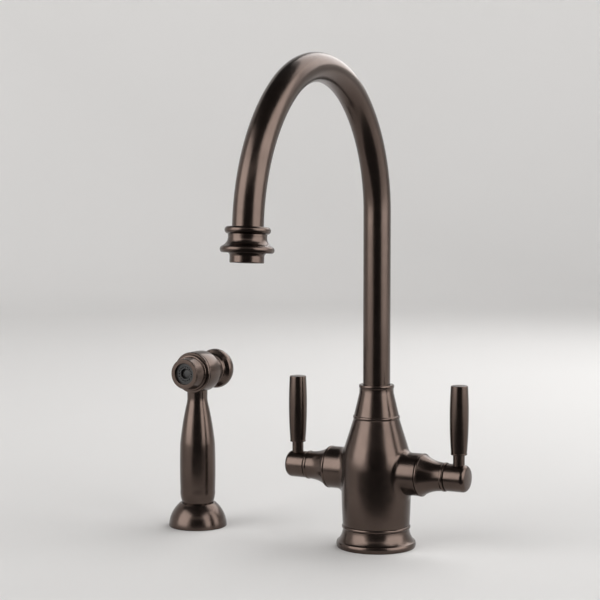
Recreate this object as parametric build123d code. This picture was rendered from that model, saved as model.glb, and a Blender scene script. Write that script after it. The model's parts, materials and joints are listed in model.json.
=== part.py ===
from build123d import *
import math
import os

# Two handle kitchen faucet with a side spray, in millimetres. The origin is the centre of the base on the
# deck's top face. +Z is up, the spout reaches towards -Y, the cold lever is at +X, the hot lever at -X,
# and the spray stands in its own holder further out at -X. What lies below z = 0 is under the deck.

# Clearances
fit_gap = 0.05          # radial, between pieces that are screwed or pushed together
run_gap = 0.06          # radial, between pieces that turn or slide on each other
slide_gap = 0.1         # radial, round the spray's spigot and the button's skirt
ring_gap = 0.04         # radial, between an O-ring and the bore that it seals
face_gap = 0.1          # axial, between a moving face and a fixed one
break_edge = 0.2        # least rounding or step at a turned edge

# Deck and base flange
deck_max = 30.0         # thickest deck that the nuts clamp
base_r = 32.6
foot_h = 5.0            # height of the rolled foot
foot_round = 0.6        # swell of the foot's roll
foot_step = 1.3         # from the foot's roll in to the cove
cove_top = 15.2
cove_sag = 0.27         # share of the cove's width that is left at half its height
base_h = 18.2
base_bead = 0.95        # how far the bead under the body stands out
gasket_r = 26.8
gasket_bore_gap = 1.5   # radial, from the shank to the gasket
gasket_t = 2.0

# Body casting
body_foot_r = 27.4
belly_r = 28.6
body_bulge = 0.35       # swell between foot and belly
shoulder_r = 25.5
neck_r = 18.7
shoulder_rise = 21.7    # from the valve axis to the shoulder
neck_rise = 21.4        # from the shoulder to the neck
body_spigot_r = 22.0    # part of the body that sits down in the base flange
boss_blend_r = 6.0      # fillet between body and valve boss

# Threaded shank, washers and lock nut
shank_r = 16.5
shank_bore_r = 13.2
shank_tail = 11.0       # what is left below the nut on the thickest deck
shank_lead_r = 15.6     # plain lead at the shank's end, where the nut is put on
shank_lead_l = 5.0
shank_top = 14.0
rubber_washer_r = 29.0
rubber_washer_t = 3.0
steel_washer_r = 28.0
steel_washer_t = 2.0
lock_nut_r = 26.0       # over the corners
lock_nut_h = 12.0

# Supply ports in the floor of the shank recess, M10 threads, and the channels above them
port_r = 4.5
port_depth = 12.0
supply_port_x = 7.8
supply_port_y = -3.0
spray_port_y = 8.2
supply_channel_r = 2.8
spray_channel_r = 2.4
spray_channel_y = 4.5   # where the spray's channel enters the chamber
mix_port_r = 2.2
mix_port_rise = 8.3     # height of the mixed water port over the valve axis

# Mixing chamber and diverter
chamber_r = 8.0
chamber_drop = 12.3     # from the valve axis to the chamber's floor
cage_r = 8.85
cage_h = 11.0           # with its flange
cage_drop = 1.0         # room below the cage
cage_floor_t = 2.0
cage_flange_t = 2.0
cage_bore_r = 6.6
cage_seat_r = 4.0
piston_h = 3.5
piston_rod_r = 2.0
piston_rod_h = 2.2
piston_travel = 3.0

# Spout swivel
stem_bore_r = 11.6
stem_bore_rise = 21.7   # from the valve axis to the floor of the stem's bore
stem_water_r = 7.5
stem_flange_r = 13.6
stem_flange_t = 3.0
stem_plug_h = 9.7       # length of the stem inside the tube
body_thread_r = 13.8    # male thread on the body's neck
body_thread_h = 8.6
bearing_t = 3.0
low_ring_rise = 5.7     # lower O-ring over the stem's end
high_ring_drop = 6.3    # upper O-ring under the stem's flange
stem_ring_section_r = 0.85

# Retaining collar
collar_bead_h = 2.8
collar_bead = 0.45      # how far the bead stands out of the neck
collar_cone_inset = 0.4
collar_top_r = 14.0
collar_cone_h = 21.4
collar_band_h = 3.5
collar_lip_r = 14.4
collar_lip_h = 3.1

# Spout tube: a plumb leg, three arcs that follow on each other and a straight end
tube_r = 11.1
tube_wall = 1.2
leg_top = 273.1
arch_rs = (115.3, 92.7, 131.9)
arch_degrees = (50.5, 76.5, 49.0)
straight_end = 2.2      # from the last arc to the top of the outlet collar
tube_in_collar = 8.0

# Outlet collar and aerator, measured along the outlet from the collar's top
ring_r = 16.2
ring_h = 4.9
ring_round = 1.6        # how far the rings' edges draw in
waist_r = 13.7
waist_hollow = 1.15     # rise of the concave waist at its middle
low_ring_r = 19.1
low_ring_h = 4.6
outlet_collar_h = 18.2
tube_stop = 2.3         # ledge between the tube's end and the aerator
outlet_thread_r = 11.0
aerator_washer_t = 1.0
aerator_r = 12.1
aerator_shoulder = 1.3  # cove's width under the collar
aerator_drop = 7.0      # how far the aerator stands out of the collar
aerator_bore_r = 9.2
aerator_lip_r = 8.3
aerator_lip_t = 1.3
screen_t = 0.8
screen_gap = 0.2
screen_drop = 1.8       # from the washer to the screen
jet_hole_r = 0.75
jet_circle_rs = (2.5, 5.0, 7.4)
jet_counts = (6, 12, 18)

# Valves, measured outwards from the body's axis along X
valve_z = 62.3
boss_r = 17.2
boss_end = 40.3
inlet_r = 5.0
inlet_depth = 4.7
pocket_r = 11.0
pocket_depth = 19.0
bonnet_thread_r = 13.95
bonnet_thread_l = 7.0   # depth of the thread in the boss
cartridge_flange_r = 13.3
cartridge_flange_t = 2.6
cartridge_nose_r = 8.9
cartridge_nose_l = 13.0
cartridge_cavity_r = 7.6
cartridge_cavity_l = 16.0
cartridge_neck_r = 7.5
cartridge_neck_l = 14.4
window_w = 5.0
window_l = 5.0
disc_t = 3.2
disc_hole_r = 2.1
disc_hole_circle_r = 4.4
seat_seal_bore_r = 4.4
seat_seal_l = 5.6
spindle_r = 4.0
driver_t = 3.4
spindle_ring_l = 5.4    # from the cartridge's flange to the spindle's O-ring
spindle_ring_section_r = 0.5

# Bonnet
bonnet_bead = 0.25      # how far the bead stands out of the boss
bonnet_bead_w = 2.2
bonnet_start_r = 16.6
bonnet_waist_r = 11.7
bonnet_hollow = 0.6
bonnet_end_r = 11.4
bonnet_lip_r = 11.8
bonnet_lip_w = 2.8
bonnet_neck_l = 3.8     # from the waist to the lip
bonnet_l = 22.2
bonnet_bore_r = 8.2

# Lever: hub, stem, grip and set screw
hub_gap = 0.6           # groove that shows between bonnet and hub
hub_r = 11.0
hub_l = 18.1
hub_stub_l = 8.2
hub_round_l = 4.4       # length of the hub's rounded end
hub_face_inset = 3.0
hub_crown = 0.6
hub_end_t = 2.3         # wall over the spindle's end
lever_inset = 9.6       # from the hub's inner face to the lever's axis
lever_stem_r = 4.7
grip_rise = 18.9        # from the valve axis to the grip
grip_l = 55.3
grip_socket = 18.0
grip_foot_r = 6.6
grip_max_r = 7.6
grip_top_r = 6.9
grip_lip_h = 1.1
grip_round = 0.9
screw_r = 1.95
screw_l = 5.6
screw_key_r = 1.15      # hexagon socket, over the corners
screw_key_l = 2.3

# Spray holder
spray_x = -171.5
holder_r = 25.0
holder_rim_h = 1.8
holder_dome_wall = 2.8  # from the handle's foot to the dome's top edge
holder_dome_drop = 0.9
holder_dome_swell = 2.2
holder_lip_w = 1.4
holder_h = 20.5
holder_mouth_gap = 0.18
holder_gasket_r = 21.8
holder_gasket_t = 1.6
holder_shank_wall = 2.1
holder_shank_top = 12.0
holder_shank_ledge = 0.35
holder_shank_tail = 11.0
holder_lead_r = 13.5    # plain lead at the end of the holder's shank
holder_lead_l = 5.0
liner_l = 28.0
liner_wall = 1.75
liner_flange_t = 2.2
holder_washer_r = 22.0
holder_washer_t = 2.0
holder_nut_r = 21.0     # over the corners
holder_nut_h = 9.0

# Spray handle and hose coupling
handle_foot_r = 13.4
handle_low_r = 15.1
handle_foot_l = 11.5    # from the holder to the handle's full girth
handle_max_r = 15.45
handle_high_z = 72.0
handle_taper_swell = 0.5
handle_neck_r = 8.8
handle_neck_flare = 1.1
handle_neck_l = 6.0     # straight neck below the head
handle_flare_l = 10.5
handle_spigot_r = 10.3
handle_spigot_low = -2.0
handle_water_r = 4.0
coupling_r = 9.2
coupling_l = 5.8
hose_thread_r = 6.58
hose_thread_l = 7.8
nipple_r = 6.0
nipple_top = 8.0
nipple_room = 1.0       # over the nipple's end
coupling_water_r = 3.2
nipple_ring_z = 4.0
nipple_ring_section_r = 0.55

# Spray head, measured forwards along the nozzle from the handle's axis
head_z = 134.4
handle_top_drop = 13.4  # from the nozzle's axis to the handle's end inside the barrel
barrel_r = 17.95
barrel_back = -9.8
barrel_round = 0.55     # how far the barrel draws in towards its ends
barrel_front = 5.8
head_groove_w = 0.9
head_bead_w = 2.9
head_bead_inset = 0.2
head_bead_round = 0.65
head_bore_r = 12.05
web_back = -3.5
web_t = 1.2
valve_chamber_r = 6.2
head_water_r = 2.2
seat_wall = 2.5
seat_wall_t = 1.5
seat_r = 4.2
nozzle_bead_r = 15.5
nozzle_bead_w = 1.8
nozzle_root_r = 14.1
nozzle_tip_r = 12.75
nozzle_l = 10.3
nozzle_bore_r = 8.5
face_r = 9.15
face_l = 6.2
face_t = 4.8
face_wall = 1.1
face_drop = 2.4         # from the bezel's front to the face
bezel_out = 0.2         # how far the bezel stands out round the nozzle's tip
bezel_h = 1.8
bezel_round = 0.55
spray_hole_r = 0.55
spray_hole_circle_r = 6.1
spray_hole_count = 16
recess_r = 4.5
recess_depth = 3.6
recess_boss_r = 3.2
recess_boss_drop = 2.4  # from the face to the boss in its recess

# Spray button, measured on the same axis
button_travel = 4.0
button_stop = 0.4       # room left in front of the skirt when the button is pressed
skirt_r = 12.35
skirt_wall = 1.75
skirt_l = 16.1
button_flare = 1.6      # from the skirt out to the disc's front face
button_flare_l = 2.6
button_r = 17.3
button_t = 8.1
button_rim = 0.9
button_crown = 0.7
rod_r = 2.5
rod_in_button = 5.8
seal_r = 5.6
seal_t = 2.0
rod_tip_r = 1.8
rod_head_r = 3.6
rod_head_t = 2.0
spring_mean_r = 7.0
spring_wire_r = 0.7
spring_turns = 6

# Heights that follow from those above
shoulder_z = valve_z + shoulder_rise
neck_z = shoulder_z + neck_rise
neck_top = neck_z + body_thread_h
chamber_low = valve_z - chamber_drop
stem_bore_low = valve_z + stem_bore_rise
cage_top = stem_bore_low + cage_flange_t
cage_low = cage_top - cage_h
chamber_top = cage_low - cage_drop
stem_low = cage_top + 3 * face_gap
stem_flange_low = neck_top + 3 * face_gap
tube_start = stem_flange_low + stem_flange_t
bearing_low = tube_start + face_gap
collar_ceiling = bearing_low + bearing_t + face_gap
washer_low = -deck_max - rubber_washer_t
lock_nut_top = washer_low - steel_washer_t
shank_low = lock_nut_top - lock_nut_h - shank_tail
holder_nut_top = -deck_max - holder_washer_t
holder_shank_low = holder_nut_top - holder_nut_h - holder_shank_tail
liner_low = holder_shank_top - liner_l
handle_shoulder = holder_shank_top + liner_flange_t + face_gap
handle_top = head_z - handle_top_drop
handle_neck_z = handle_top - handle_neck_l
coupling_top = handle_spigot_low - 2 * face_gap
coupling_low = coupling_top - coupling_l
hose_thread_low = coupling_low - hose_thread_l
grip_low = valve_z + grip_rise
grip_high = grip_low + grip_l
stem_seat = valve_z + spindle_r + 3 * face_gap

# Radii that follow
cove_r = body_foot_r - break_edge
shank_hole_r = shank_r + fit_gap
gasket_bore_r = shank_r + gasket_bore_gap
stem_r = stem_bore_r - run_gap
piston_r = cage_bore_r - run_gap
collar_bore_r = body_thread_r + fit_gap
tube_hole_r = tube_r + run_gap
tube_bore_r = tube_r - tube_wall
disc_r = cartridge_cavity_r - 2 * fit_gap
hub_stub_r = bonnet_bore_r - 0.8 * slide_gap
liner_bore_r = handle_spigot_r + slide_gap
liner_r = liner_bore_r + liner_wall
holder_shank_bore_r = liner_r - holder_shank_ledge
holder_shank_r = liner_r + fit_gap + holder_shank_wall
nut_thread_r = holder_shank_r + fit_gap
button_bore_r = skirt_r + slide_gap
bezel_r = nozzle_tip_r + bezel_out

# Places along the outlet, the valves and the nozzle that follow
collar_shoulder = tube_in_collar + tube_stop
low_ring_start = outlet_collar_h - low_ring_h
aerator_start = collar_shoulder + aerator_washer_t
aerator_end = outlet_collar_h + aerator_drop
screen_start = aerator_start + screen_drop
pocket_step = boss_end - bonnet_thread_l
pocket_floor = pocket_step - pocket_depth
inlet_start = pocket_floor - inlet_depth
cartridge_nose_end = pocket_floor + cartridge_nose_l
cartridge_flange_end = pocket_step + cartridge_flange_t
bonnet_start = cartridge_flange_end + face_gap
bonnet_end = boss_end + bonnet_l
bonnet_lip_start = bonnet_end - bonnet_lip_w
seat_seal_start = pocket_floor + face_gap
fixed_disc_start = seat_seal_start + seat_seal_l
moving_disc_start = fixed_disc_start + disc_t + face_gap
driver_start = moving_disc_start + disc_t + face_gap
spindle_ring_x = cartridge_flange_end + spindle_ring_l
hub_start = bonnet_end + hub_gap
hub_end = hub_start + hub_l
spindle_end = hub_end - hub_end_t - face_gap
lever_x = hub_start + lever_inset
seat_front = seat_wall + seat_wall_t
valve_front = seat_front + face_gap
head_front = barrel_front + head_groove_w + head_bead_w
nozzle_end = head_front + nozzle_l
bezel_end = nozzle_end + bezel_h
face_end = bezel_end - face_drop
face_start = face_end - face_l
skirt_front = web_back - button_travel - button_stop
button_floor = skirt_front - skirt_l
button_face = button_floor - button_flare_l
button_back = button_face - button_t
rod_end = button_floor - rod_in_button

BASE_UP = (Align.CENTER, Align.CENTER, Align.MIN)


def rod(radius, low, high):
    """Cylinder on the Z axis from low to high."""
    return Pos(0, 0, low) * Cylinder(radius, high - low, align=BASE_UP)


def sleeve(radius, bore_radius, low, high):
    """Hollow cylinder on the Z axis from low to high."""
    return rod(radius, low, high) - rod(bore_radius, low, high)


def turned(start, *steps):
    """Solid of revolution about Z. A step is a point (radius, height), or (via, point) for an arc."""
    edges = []
    here = start
    for step in steps:
        if isinstance(step[0], tuple):
            edges.append(ThreePointArc(here, *step))
            here = step[1]
        else:
            edges.append(Line(here, step))
            here = step
    edges.append(Line(here, start))
    face = make_face(Wire(edges))
    return Rot(0, 0, 90) * revolve(Plane.XZ * face, Axis.Z)


def crown(rim_r, rim_h, top_h):
    """Arc step from a rim to a top on the Z axis, part of a sphere."""
    rise = top_h - rim_h
    sphere_r = (rim_r ** 2 + rise ** 2) / (2 * abs(rise))
    half = 0.5 * math.asin(rim_r / sphere_r)
    drop = math.copysign(sphere_r * (1 - math.cos(half)), rise)
    return (sphere_r * math.sin(half), top_h - drop), (0, top_h)


def drill(start, end, radius):
    """Cylinder from one point to another."""
    run = Vector(*end) - Vector(*start)
    return Plane(origin=start, z_dir=run) * rod(radius, 0, run.length)


def hexagon(corner_r, low, high):
    """Hexagonal bar on the Z axis."""
    return Pos(0, 0, low) * extrude(RegularPolygon(corner_r, 6), high - low)


def ring_of_holes(count, circle_r, radius, low, high):
    """Straight holes spaced evenly round the Z axis."""
    return [Rot(0, 0, 360 * turn / count) * Pos(circle_r, 0, 0) * rod(radius, low, high)
            for turn in range(count)]


def valve_frame(side):
    """Frame on the valve axis: local Z runs outwards along X, local X is up."""
    return Plane(origin=(0, 0, valve_z), x_dir=(0, 0, 1), z_dir=(side, 0, 0))


def at_lever(side):
    """Place of the lever's upright axis."""
    return Pos(side * lever_x, 0, 0)


def at_spray():
    """Place of the spray's upright axis."""
    return Pos(spray_x, 0, 0)


def spray_frame():
    """Frame on the nozzle's axis: local Z runs forwards, out of the nozzle."""
    return Plane(origin=(spray_x, 0, head_z), x_dir=(1, 0, 0), z_dir=(0, -1, 0))


def spout_run():
    """Edges of the spout's centre line and the plane at the top of the outlet collar."""
    reach, height, heading = 0.0, leg_top, 0.0
    edges = [Line((0, 0, tube_start), (0, 0, leg_top))]
    for radius, degrees in zip(arch_rs, arch_degrees):
        turn = math.radians(degrees)
        centre = (reach + radius * math.cos(heading), height - radius * math.sin(heading))
        stops = []
        for part in (0.5, 1.0):
            angle = heading + part * turn
            stops.append((centre[0] - radius * math.cos(angle), centre[1] + radius * math.sin(angle)))
        edges.append(ThreePointArc((0, -reach, height), *[(0, -r, z) for r, z in stops]))
        reach, height = stops[1]
        heading += turn
    along = (math.sin(heading), math.cos(heading))
    top = (reach + straight_end * along[0], height + straight_end * along[1])
    end = (top[0] + tube_in_collar * along[0], top[1] + tube_in_collar * along[1])
    edges.append(Line((0, -reach, height), (0, -end[0], end[1])))
    outlet = Plane(origin=(0, -top[0], top[1]), x_dir=(1, 0, 0), z_dir=(0, -along[0], along[1]))
    return edges, outlet


# ---- Base, body and mounting ----

def base_flange():
    """Flared ring under the body: rolled foot, cove and bead."""
    bore = body_spigot_r + fit_gap
    recess = gasket_r + fit_gap
    step_r = base_r - foot_step
    mid_r = cove_r + cove_sag * (step_r - cove_r)
    return turned((bore, gasket_t), (recess, gasket_t), (recess, 0), (base_r - foot_round, 0),
                  ((base_r, 0.5 * foot_h), (base_r - foot_round, foot_h)), (step_r, foot_h + break_edge),
                  ((mid_r, 0.5 * (foot_h + cove_top)), (cove_r, cove_top)),
                  ((cove_r + base_bead, 0.5 * (cove_top + base_h)), (body_foot_r, base_h)), (bore, base_h))


def base_gasket():
    """Rubber ring that seals the flange on the deck."""
    return sleeve(gasket_r, gasket_bore_r, 0, gasket_t)


def body_shell():
    """Outside of the body: a bellied barrel up to the neck, with a filleted boss on each side."""
    shoulder_turn = math.atan((shoulder_r - neck_r) / (neck_z - shoulder_z))
    arc_r = (belly_r - shoulder_r) / (1 - math.cos(shoulder_turn))
    arc_low = shoulder_z - arc_r * math.sin(shoulder_turn)
    half = 0.5 * shoulder_turn
    via = (belly_r - arc_r * (1 - math.cos(half)), arc_low + arc_r * math.sin(half))
    bulge_r = 0.5 * (body_foot_r + belly_r) + body_bulge
    shell = turned((0, base_h), (body_foot_r, base_h),
                   ((bulge_r, 0.5 * (base_h + arc_low)), (belly_r, arc_low)),
                   (via, (shoulder_r, shoulder_z)), (neck_r, neck_z), (0, neck_z))
    for side in (-1, 1):
        shell += valve_frame(side) * rod(boss_r, 0, boss_end)
    return fillet([edge for edge in shell.edges() if at_boss_root(edge)], boss_blend_r)


def at_boss_root(edge):
    """True for an edge where a valve boss leaves the body."""
    spots = [edge @ part for part in (0.1, 0.4, 0.7)]
    on_boss = all(abs(math.hypot(spot.Y, spot.Z - valve_z) - boss_r) < 0.01 for spot in spots)
    return on_boss and edge.geom_type != GeomType.LINE and abs(edge.center().X) < belly_r


def valve_pocket():
    """Space for the cartridge in a boss, with its inlet and its mixed water port."""
    pocket = rod(inlet_r, inlet_start, pocket_floor + face_gap)
    pocket += rod(pocket_r, pocket_floor, pocket_step)
    pocket += rod(bonnet_thread_r + fit_gap, pocket_step, boss_end)
    mix_port = rod(mix_port_r, 0.5 * chamber_r, pocket_floor + face_gap)
    return pocket + Pos(mix_port_rise, 0, 0) * mix_port


def body_casting():
    """Central body with its two valve bosses, neck thread and waterways."""
    spigot_low = gasket_t + 2 * face_gap
    body = body_shell() + rod(body_spigot_r, spigot_low, base_h) + rod(body_thread_r, neck_z, neck_top)
    body -= rod(shank_hole_r, spigot_low, shank_top)
    body -= rod(chamber_r, chamber_low, chamber_top)
    body -= rod(cage_r + fit_gap, chamber_top, stem_bore_low)
    body -= rod(stem_bore_r, stem_bore_low, neck_top)
    port_top = shank_top + port_depth
    channel_low = port_top - 0.5 * spray_channel_r
    spray_mouth = (0, spray_channel_y, chamber_low + 0.5 * spray_channel_r)
    body -= Pos(0, spray_port_y, 0) * rod(port_r, shank_top, port_top)
    body -= drill((0, spray_port_y, channel_low), spray_mouth, spray_channel_r)
    for side in (-1, 1):
        port_x = side * supply_port_x
        inlet = (0.5 * side * (inlet_start + pocket_floor), 0, valve_z - 0.5 * inlet_r)
        body -= Pos(port_x, supply_port_y, 0) * rod(port_r, shank_top, port_top)
        body -= drill((port_x, supply_port_y, channel_low), inlet, supply_channel_r)
        body -= valve_frame(side) * valve_pocket()
    return body


def mounting_shank():
    """Hollow threaded shank that passes through the deck, with a plain lead at its end."""
    thread_low = shank_low + shank_lead_l
    shank = rod(shank_r, thread_low, shank_top) + rod(shank_lead_r, shank_low, thread_low)
    return shank - rod(shank_bore_r, shank_low, shank_top)


def deck_rubber_washer():
    """Rubber washer pressed on the deck's underside."""
    return sleeve(rubber_washer_r, shank_hole_r, washer_low, -deck_max)


def deck_steel_washer():
    """Steel washer between the rubber washer and the nut."""
    return sleeve(steel_washer_r, shank_hole_r, lock_nut_top, washer_low)


def deck_lock_nut():
    """Hexagonal nut on the shank."""
    low = lock_nut_top - lock_nut_h
    return hexagon(lock_nut_r, low, lock_nut_top) - rod(shank_hole_r, low, lock_nut_top)


# ---- Spout swivel and diverter ----

def spout_retaining_collar():
    """Cone that screws on the body's neck and holds the spout down."""
    bead_top = neck_z + collar_bead_h
    cone_r = neck_r - collar_cone_inset
    cone_top = neck_z + collar_cone_h
    lip_low = cone_top + collar_band_h
    top = lip_low + collar_lip_h
    return turned((collar_bore_r, neck_z), (neck_r, neck_z),
                  ((neck_r + collar_bead, 0.5 * (neck_z + bead_top)), (cone_r + break_edge, bead_top)),
                  (cone_r, bead_top + break_edge), (collar_top_r, cone_top),
                  (collar_top_r - 0.5 * break_edge, lip_low),
                  ((collar_lip_r, 0.5 * (lip_low + top)), (collar_lip_r - 2 * break_edge, top)),
                  (tube_hole_r, top), (tube_hole_r, collar_ceiling), (collar_bore_r, collar_ceiling))


def spout_bearing_ring():
    """Plastic ring between the stem's flange and the collar."""
    return sleeve(collar_bore_r - fit_gap, tube_hole_r, bearing_low, bearing_low + bearing_t)


def ring_groove(shaft_r, section_r, z):
    """Ring that cuts an O-ring's groove in a shaft."""
    half = 1.5 * section_r
    return sleeve(shaft_r + section_r, shaft_r - 2 * section_r, z - half, z + half)


def stem_rings():
    """Heights of the stem's two O-rings."""
    return stem_low + low_ring_rise, stem_flange_low - high_ring_drop


def spout_stem():
    """Brass end of the spout that turns in the body, with two O-ring grooves."""
    stem = rod(stem_r, stem_low, stem_flange_low) + rod(stem_flange_r, stem_flange_low, tube_start)
    stem += rod(tube_bore_r - fit_gap, tube_start, tube_start + stem_plug_h)
    for z in stem_rings():
        stem -= ring_groove(stem_r, stem_ring_section_r, z)
    return stem - rod(stem_water_r, stem_low, tube_start + stem_plug_h)


def spout_o_rings():
    """Two O-rings in the stem's grooves."""
    middle_r = stem_bore_r - ring_gap - stem_ring_section_r
    return Compound([Pos(0, 0, z) * Torus(middle_r, stem_ring_section_r) for z in stem_rings()])


def spout_tube(edges):
    """Bent tube of the spout."""
    section = Plane.XY.offset(tube_start) * (Circle(tube_r) - Circle(tube_bore_r))
    return sweep(section, path=Wire(edges))


def diverter_cage():
    """Plastic cage of the spray diverter, held under the stem."""
    cage = rod(cage_r, cage_low, cage_top) + rod(stem_bore_r - fit_gap, stem_bore_low, cage_top)
    cage -= rod(cage_bore_r, cage_low + cage_floor_t, cage_top)
    return cage - rod(cage_seat_r, cage_low, cage_low + cage_floor_t)


def diverter_piston():
    """Piston that rises with the flow and drops when the spray opens."""
    low = cage_low + cage_floor_t + face_gap
    return rod(piston_r, low, low + piston_h) + rod(piston_rod_r, low, low + piston_h + piston_rod_h)


# ---- Outlet, along the outlet frame ----

def outlet_collar():
    """Turned collar brazed on the tube's end: ring, waist and wider ring."""
    mouth = tube_r + fit_gap
    end = outlet_collar_h
    waist_start = ring_h + 2 * break_edge
    waist_end = waist_start + waist_hollow
    low_edge = low_ring_r - 0.8 * ring_round
    return turned((mouth, 0), (ring_r - ring_round, 0), ((ring_r, 0.5 * ring_h), (ring_r - ring_round, ring_h)),
                  (waist_r, waist_start), (waist_r, waist_end),
                  ((waist_r + waist_hollow, 0.5 * (waist_end + low_ring_start) + waist_hollow),
                   (low_edge, low_ring_start)),
                  ((low_ring_r, 0.5 * (low_ring_start + end)), (low_edge, end)),
                  (outlet_thread_r, end), (outlet_thread_r, collar_shoulder),
                  (tube_bore_r, collar_shoulder), (tube_bore_r, tube_in_collar), (mouth, tube_in_collar))


def aerator_washer():
    """Rubber washer over the aerator."""
    return sleeve(outlet_thread_r - 2 * fit_gap, aerator_lip_r, collar_shoulder, aerator_start)


def aerator_housing():
    """Housing that screws into the outlet collar."""
    thread_r = outlet_thread_r - fit_gap
    shoulder = outlet_collar_h + face_gap
    lip_start = aerator_end - aerator_lip_t
    cove_end = shoulder + 2 * aerator_shoulder
    cove_via = (aerator_r + 0.27 * aerator_shoulder, shoulder + 0.77 * aerator_shoulder)
    rim_r = aerator_r - 3 * break_edge
    rim_via = (aerator_r - break_edge, aerator_end - break_edge)
    return turned((aerator_bore_r, aerator_start), (thread_r, aerator_start), (thread_r, shoulder),
                  (aerator_r + aerator_shoulder, shoulder), (cove_via, (aerator_r, cove_end)),
                  (aerator_r, aerator_end - 3 * break_edge), (rim_via, (rim_r, aerator_end)),
                  (aerator_lip_r, aerator_end), (aerator_lip_r, lip_start), (aerator_bore_r, lip_start))


def aerator_screen():
    """Perforated disc over the aerator's core."""
    disc = rod(aerator_bore_r - fit_gap, screen_start, screen_start + screen_t)
    for count, circle_r in zip(jet_counts, jet_circle_rs):
        disc -= ring_of_holes(count, circle_r, jet_hole_r, screen_start, screen_start + screen_t)
    return disc


def aerator_core():
    """Plastic core with rings of jet holes."""
    low = screen_start + screen_t + screen_gap
    high = aerator_end - aerator_lip_t - face_gap
    core = rod(aerator_bore_r - fit_gap, low, high)
    for count, circle_r in zip(jet_counts, jet_circle_rs):
        core -= ring_of_holes(count, circle_r, jet_hole_r, low, high)
    return core


# ---- Valves, along the valve frame ----

def bonnet():
    """Cone that screws into the boss and covers the cartridge."""
    bead_end = boss_end + bonnet_bead_w
    waist_x = bonnet_lip_start - bonnet_neck_l
    flare_via = (0.5 * (bonnet_start_r + bonnet_waist_r) - bonnet_hollow, 0.55 * bead_end + 0.45 * waist_x)
    return turned((bonnet_bore_r, bonnet_start), (bonnet_thread_r, bonnet_start), (bonnet_thread_r, boss_end),
                  (boss_r - 2 * break_edge, boss_end),
                  ((boss_r + bonnet_bead, 0.5 * (boss_end + bead_end)),
                   (bonnet_start_r + 3 * break_edge, bead_end)),
                  (bonnet_start_r, bead_end + break_edge), (flare_via, (bonnet_waist_r, waist_x)),
                  (bonnet_end_r, bonnet_lip_start),
                  ((bonnet_lip_r, 0.5 * (bonnet_lip_start + bonnet_end)),
                   (bonnet_end_r + break_edge, bonnet_end - break_edge)),
                  (bonnet_end_r - break_edge, bonnet_end), (bonnet_bore_r, bonnet_end))


def cartridge():
    """Brass shell of the ceramic cartridge."""
    start = pocket_floor + 3 * face_gap
    neck_end = cartridge_flange_end + cartridge_neck_l
    shell = rod(cartridge_nose_r, start, cartridge_nose_end)
    shell += rod(pocket_r - fit_gap, cartridge_nose_end, pocket_step)
    shell += rod(cartridge_flange_r, pocket_step, cartridge_flange_end)
    shell += rod(cartridge_neck_r, cartridge_flange_end, neck_end)
    shell -= rod(cartridge_cavity_r, start, pocket_floor + cartridge_cavity_l)
    window = Box(window_w, 3 * cartridge_nose_r, window_l, align=BASE_UP)
    shell -= Pos(0, 0, cartridge_nose_end - window_l) * window
    return shell - rod(spindle_r + run_gap, start, neck_end)


def seat_seal():
    """Rubber sleeve that seals the cartridge on the pocket's floor."""
    return sleeve(cartridge_cavity_r - fit_gap, seat_seal_bore_r, seat_seal_start, fixed_disc_start)


def ceramic_disc(start, quarter):
    """Ceramic disc with two ports, turned by quarter degrees."""
    disc = rod(disc_r, start, start + disc_t)
    disc -= ring_of_holes(2, disc_hole_circle_r, disc_hole_r, start, start + disc_t)
    return Rot(0, 0, quarter) * disc


def spindle():
    """Brass spindle with the disc's driver at its inner end."""
    shaft = rod(spindle_r, driver_start, spindle_end) + rod(disc_r, driver_start, driver_start + driver_t)
    return shaft - ring_groove(spindle_r, spindle_ring_section_r, spindle_ring_x)


def spindle_o_ring():
    """O-ring in the spindle's groove."""
    middle_r = spindle_r + run_gap - ring_gap - spindle_ring_section_r
    return Pos(0, 0, spindle_ring_x) * Torus(middle_r, spindle_ring_section_r)


def lever_hub(side):
    """Rounded hub on the spindle, bored for the lever's stem and the set screw."""
    socket_r = spindle_r + fit_gap
    face_r_end = hub_r - hub_face_inset
    rim_x = hub_end - hub_crown
    round_via = (hub_r - 0.28 * hub_face_inset, hub_end - 0.45 * hub_round_l)
    hub = turned((socket_r, hub_start - hub_stub_l), (hub_stub_r, hub_start - hub_stub_l),
                 (hub_stub_r, hub_start), (hub_r - 2 * break_edge, hub_start),
                 (hub_r, hub_start + 2 * break_edge), (hub_r, hub_end - hub_round_l),
                 (round_via, (face_r_end, rim_x)), crown(face_r_end, rim_x, hub_end),
                 (0, hub_end - hub_end_t), (socket_r, hub_end - hub_end_t))
    hub = valve_frame(side) * hub
    hub -= at_lever(side) * rod(lever_stem_r + fit_gap, stem_seat, valve_z + 2 * hub_r)
    return hub - at_lever(side) * rod(screw_r + fit_gap, valve_z - 2 * hub_r, valve_z - spindle_r)


def lever_stem():
    """Rod that joins the grip to the hub."""
    return rod(lever_stem_r, stem_seat, grip_low + grip_socket - face_gap)


def lever_grip():
    """Turned baton grip."""
    socket_r = lever_stem_r + fit_gap
    lip_top = grip_low + grip_lip_h
    rim_r = grip_top_r - grip_round
    rim_via = (grip_top_r - 0.28 * grip_round, grip_high - 0.28 * grip_round)
    return turned((socket_r, grip_low), (grip_foot_r - break_edge, grip_low),
                  (grip_foot_r, grip_low + break_edge), (grip_foot_r, lip_top),
                  (grip_foot_r - break_edge, lip_top + break_edge),
                  ((grip_max_r, 0.5 * (grip_low + grip_high)), (grip_top_r, grip_high - grip_round)),
                  (rim_via, (rim_r, grip_high)), (0, grip_high), (0, grip_low + grip_socket),
                  (socket_r, grip_low + grip_socket))


def set_screw():
    """Grub screw under the hub that holds it on the spindle."""
    high = valve_z - spindle_r - face_gap
    low = high - screw_l
    return rod(screw_r, low, high) - hexagon(screw_key_r, low, low + screw_key_l)


# ---- Spray holder, on the spray's upright axis ----

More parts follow.
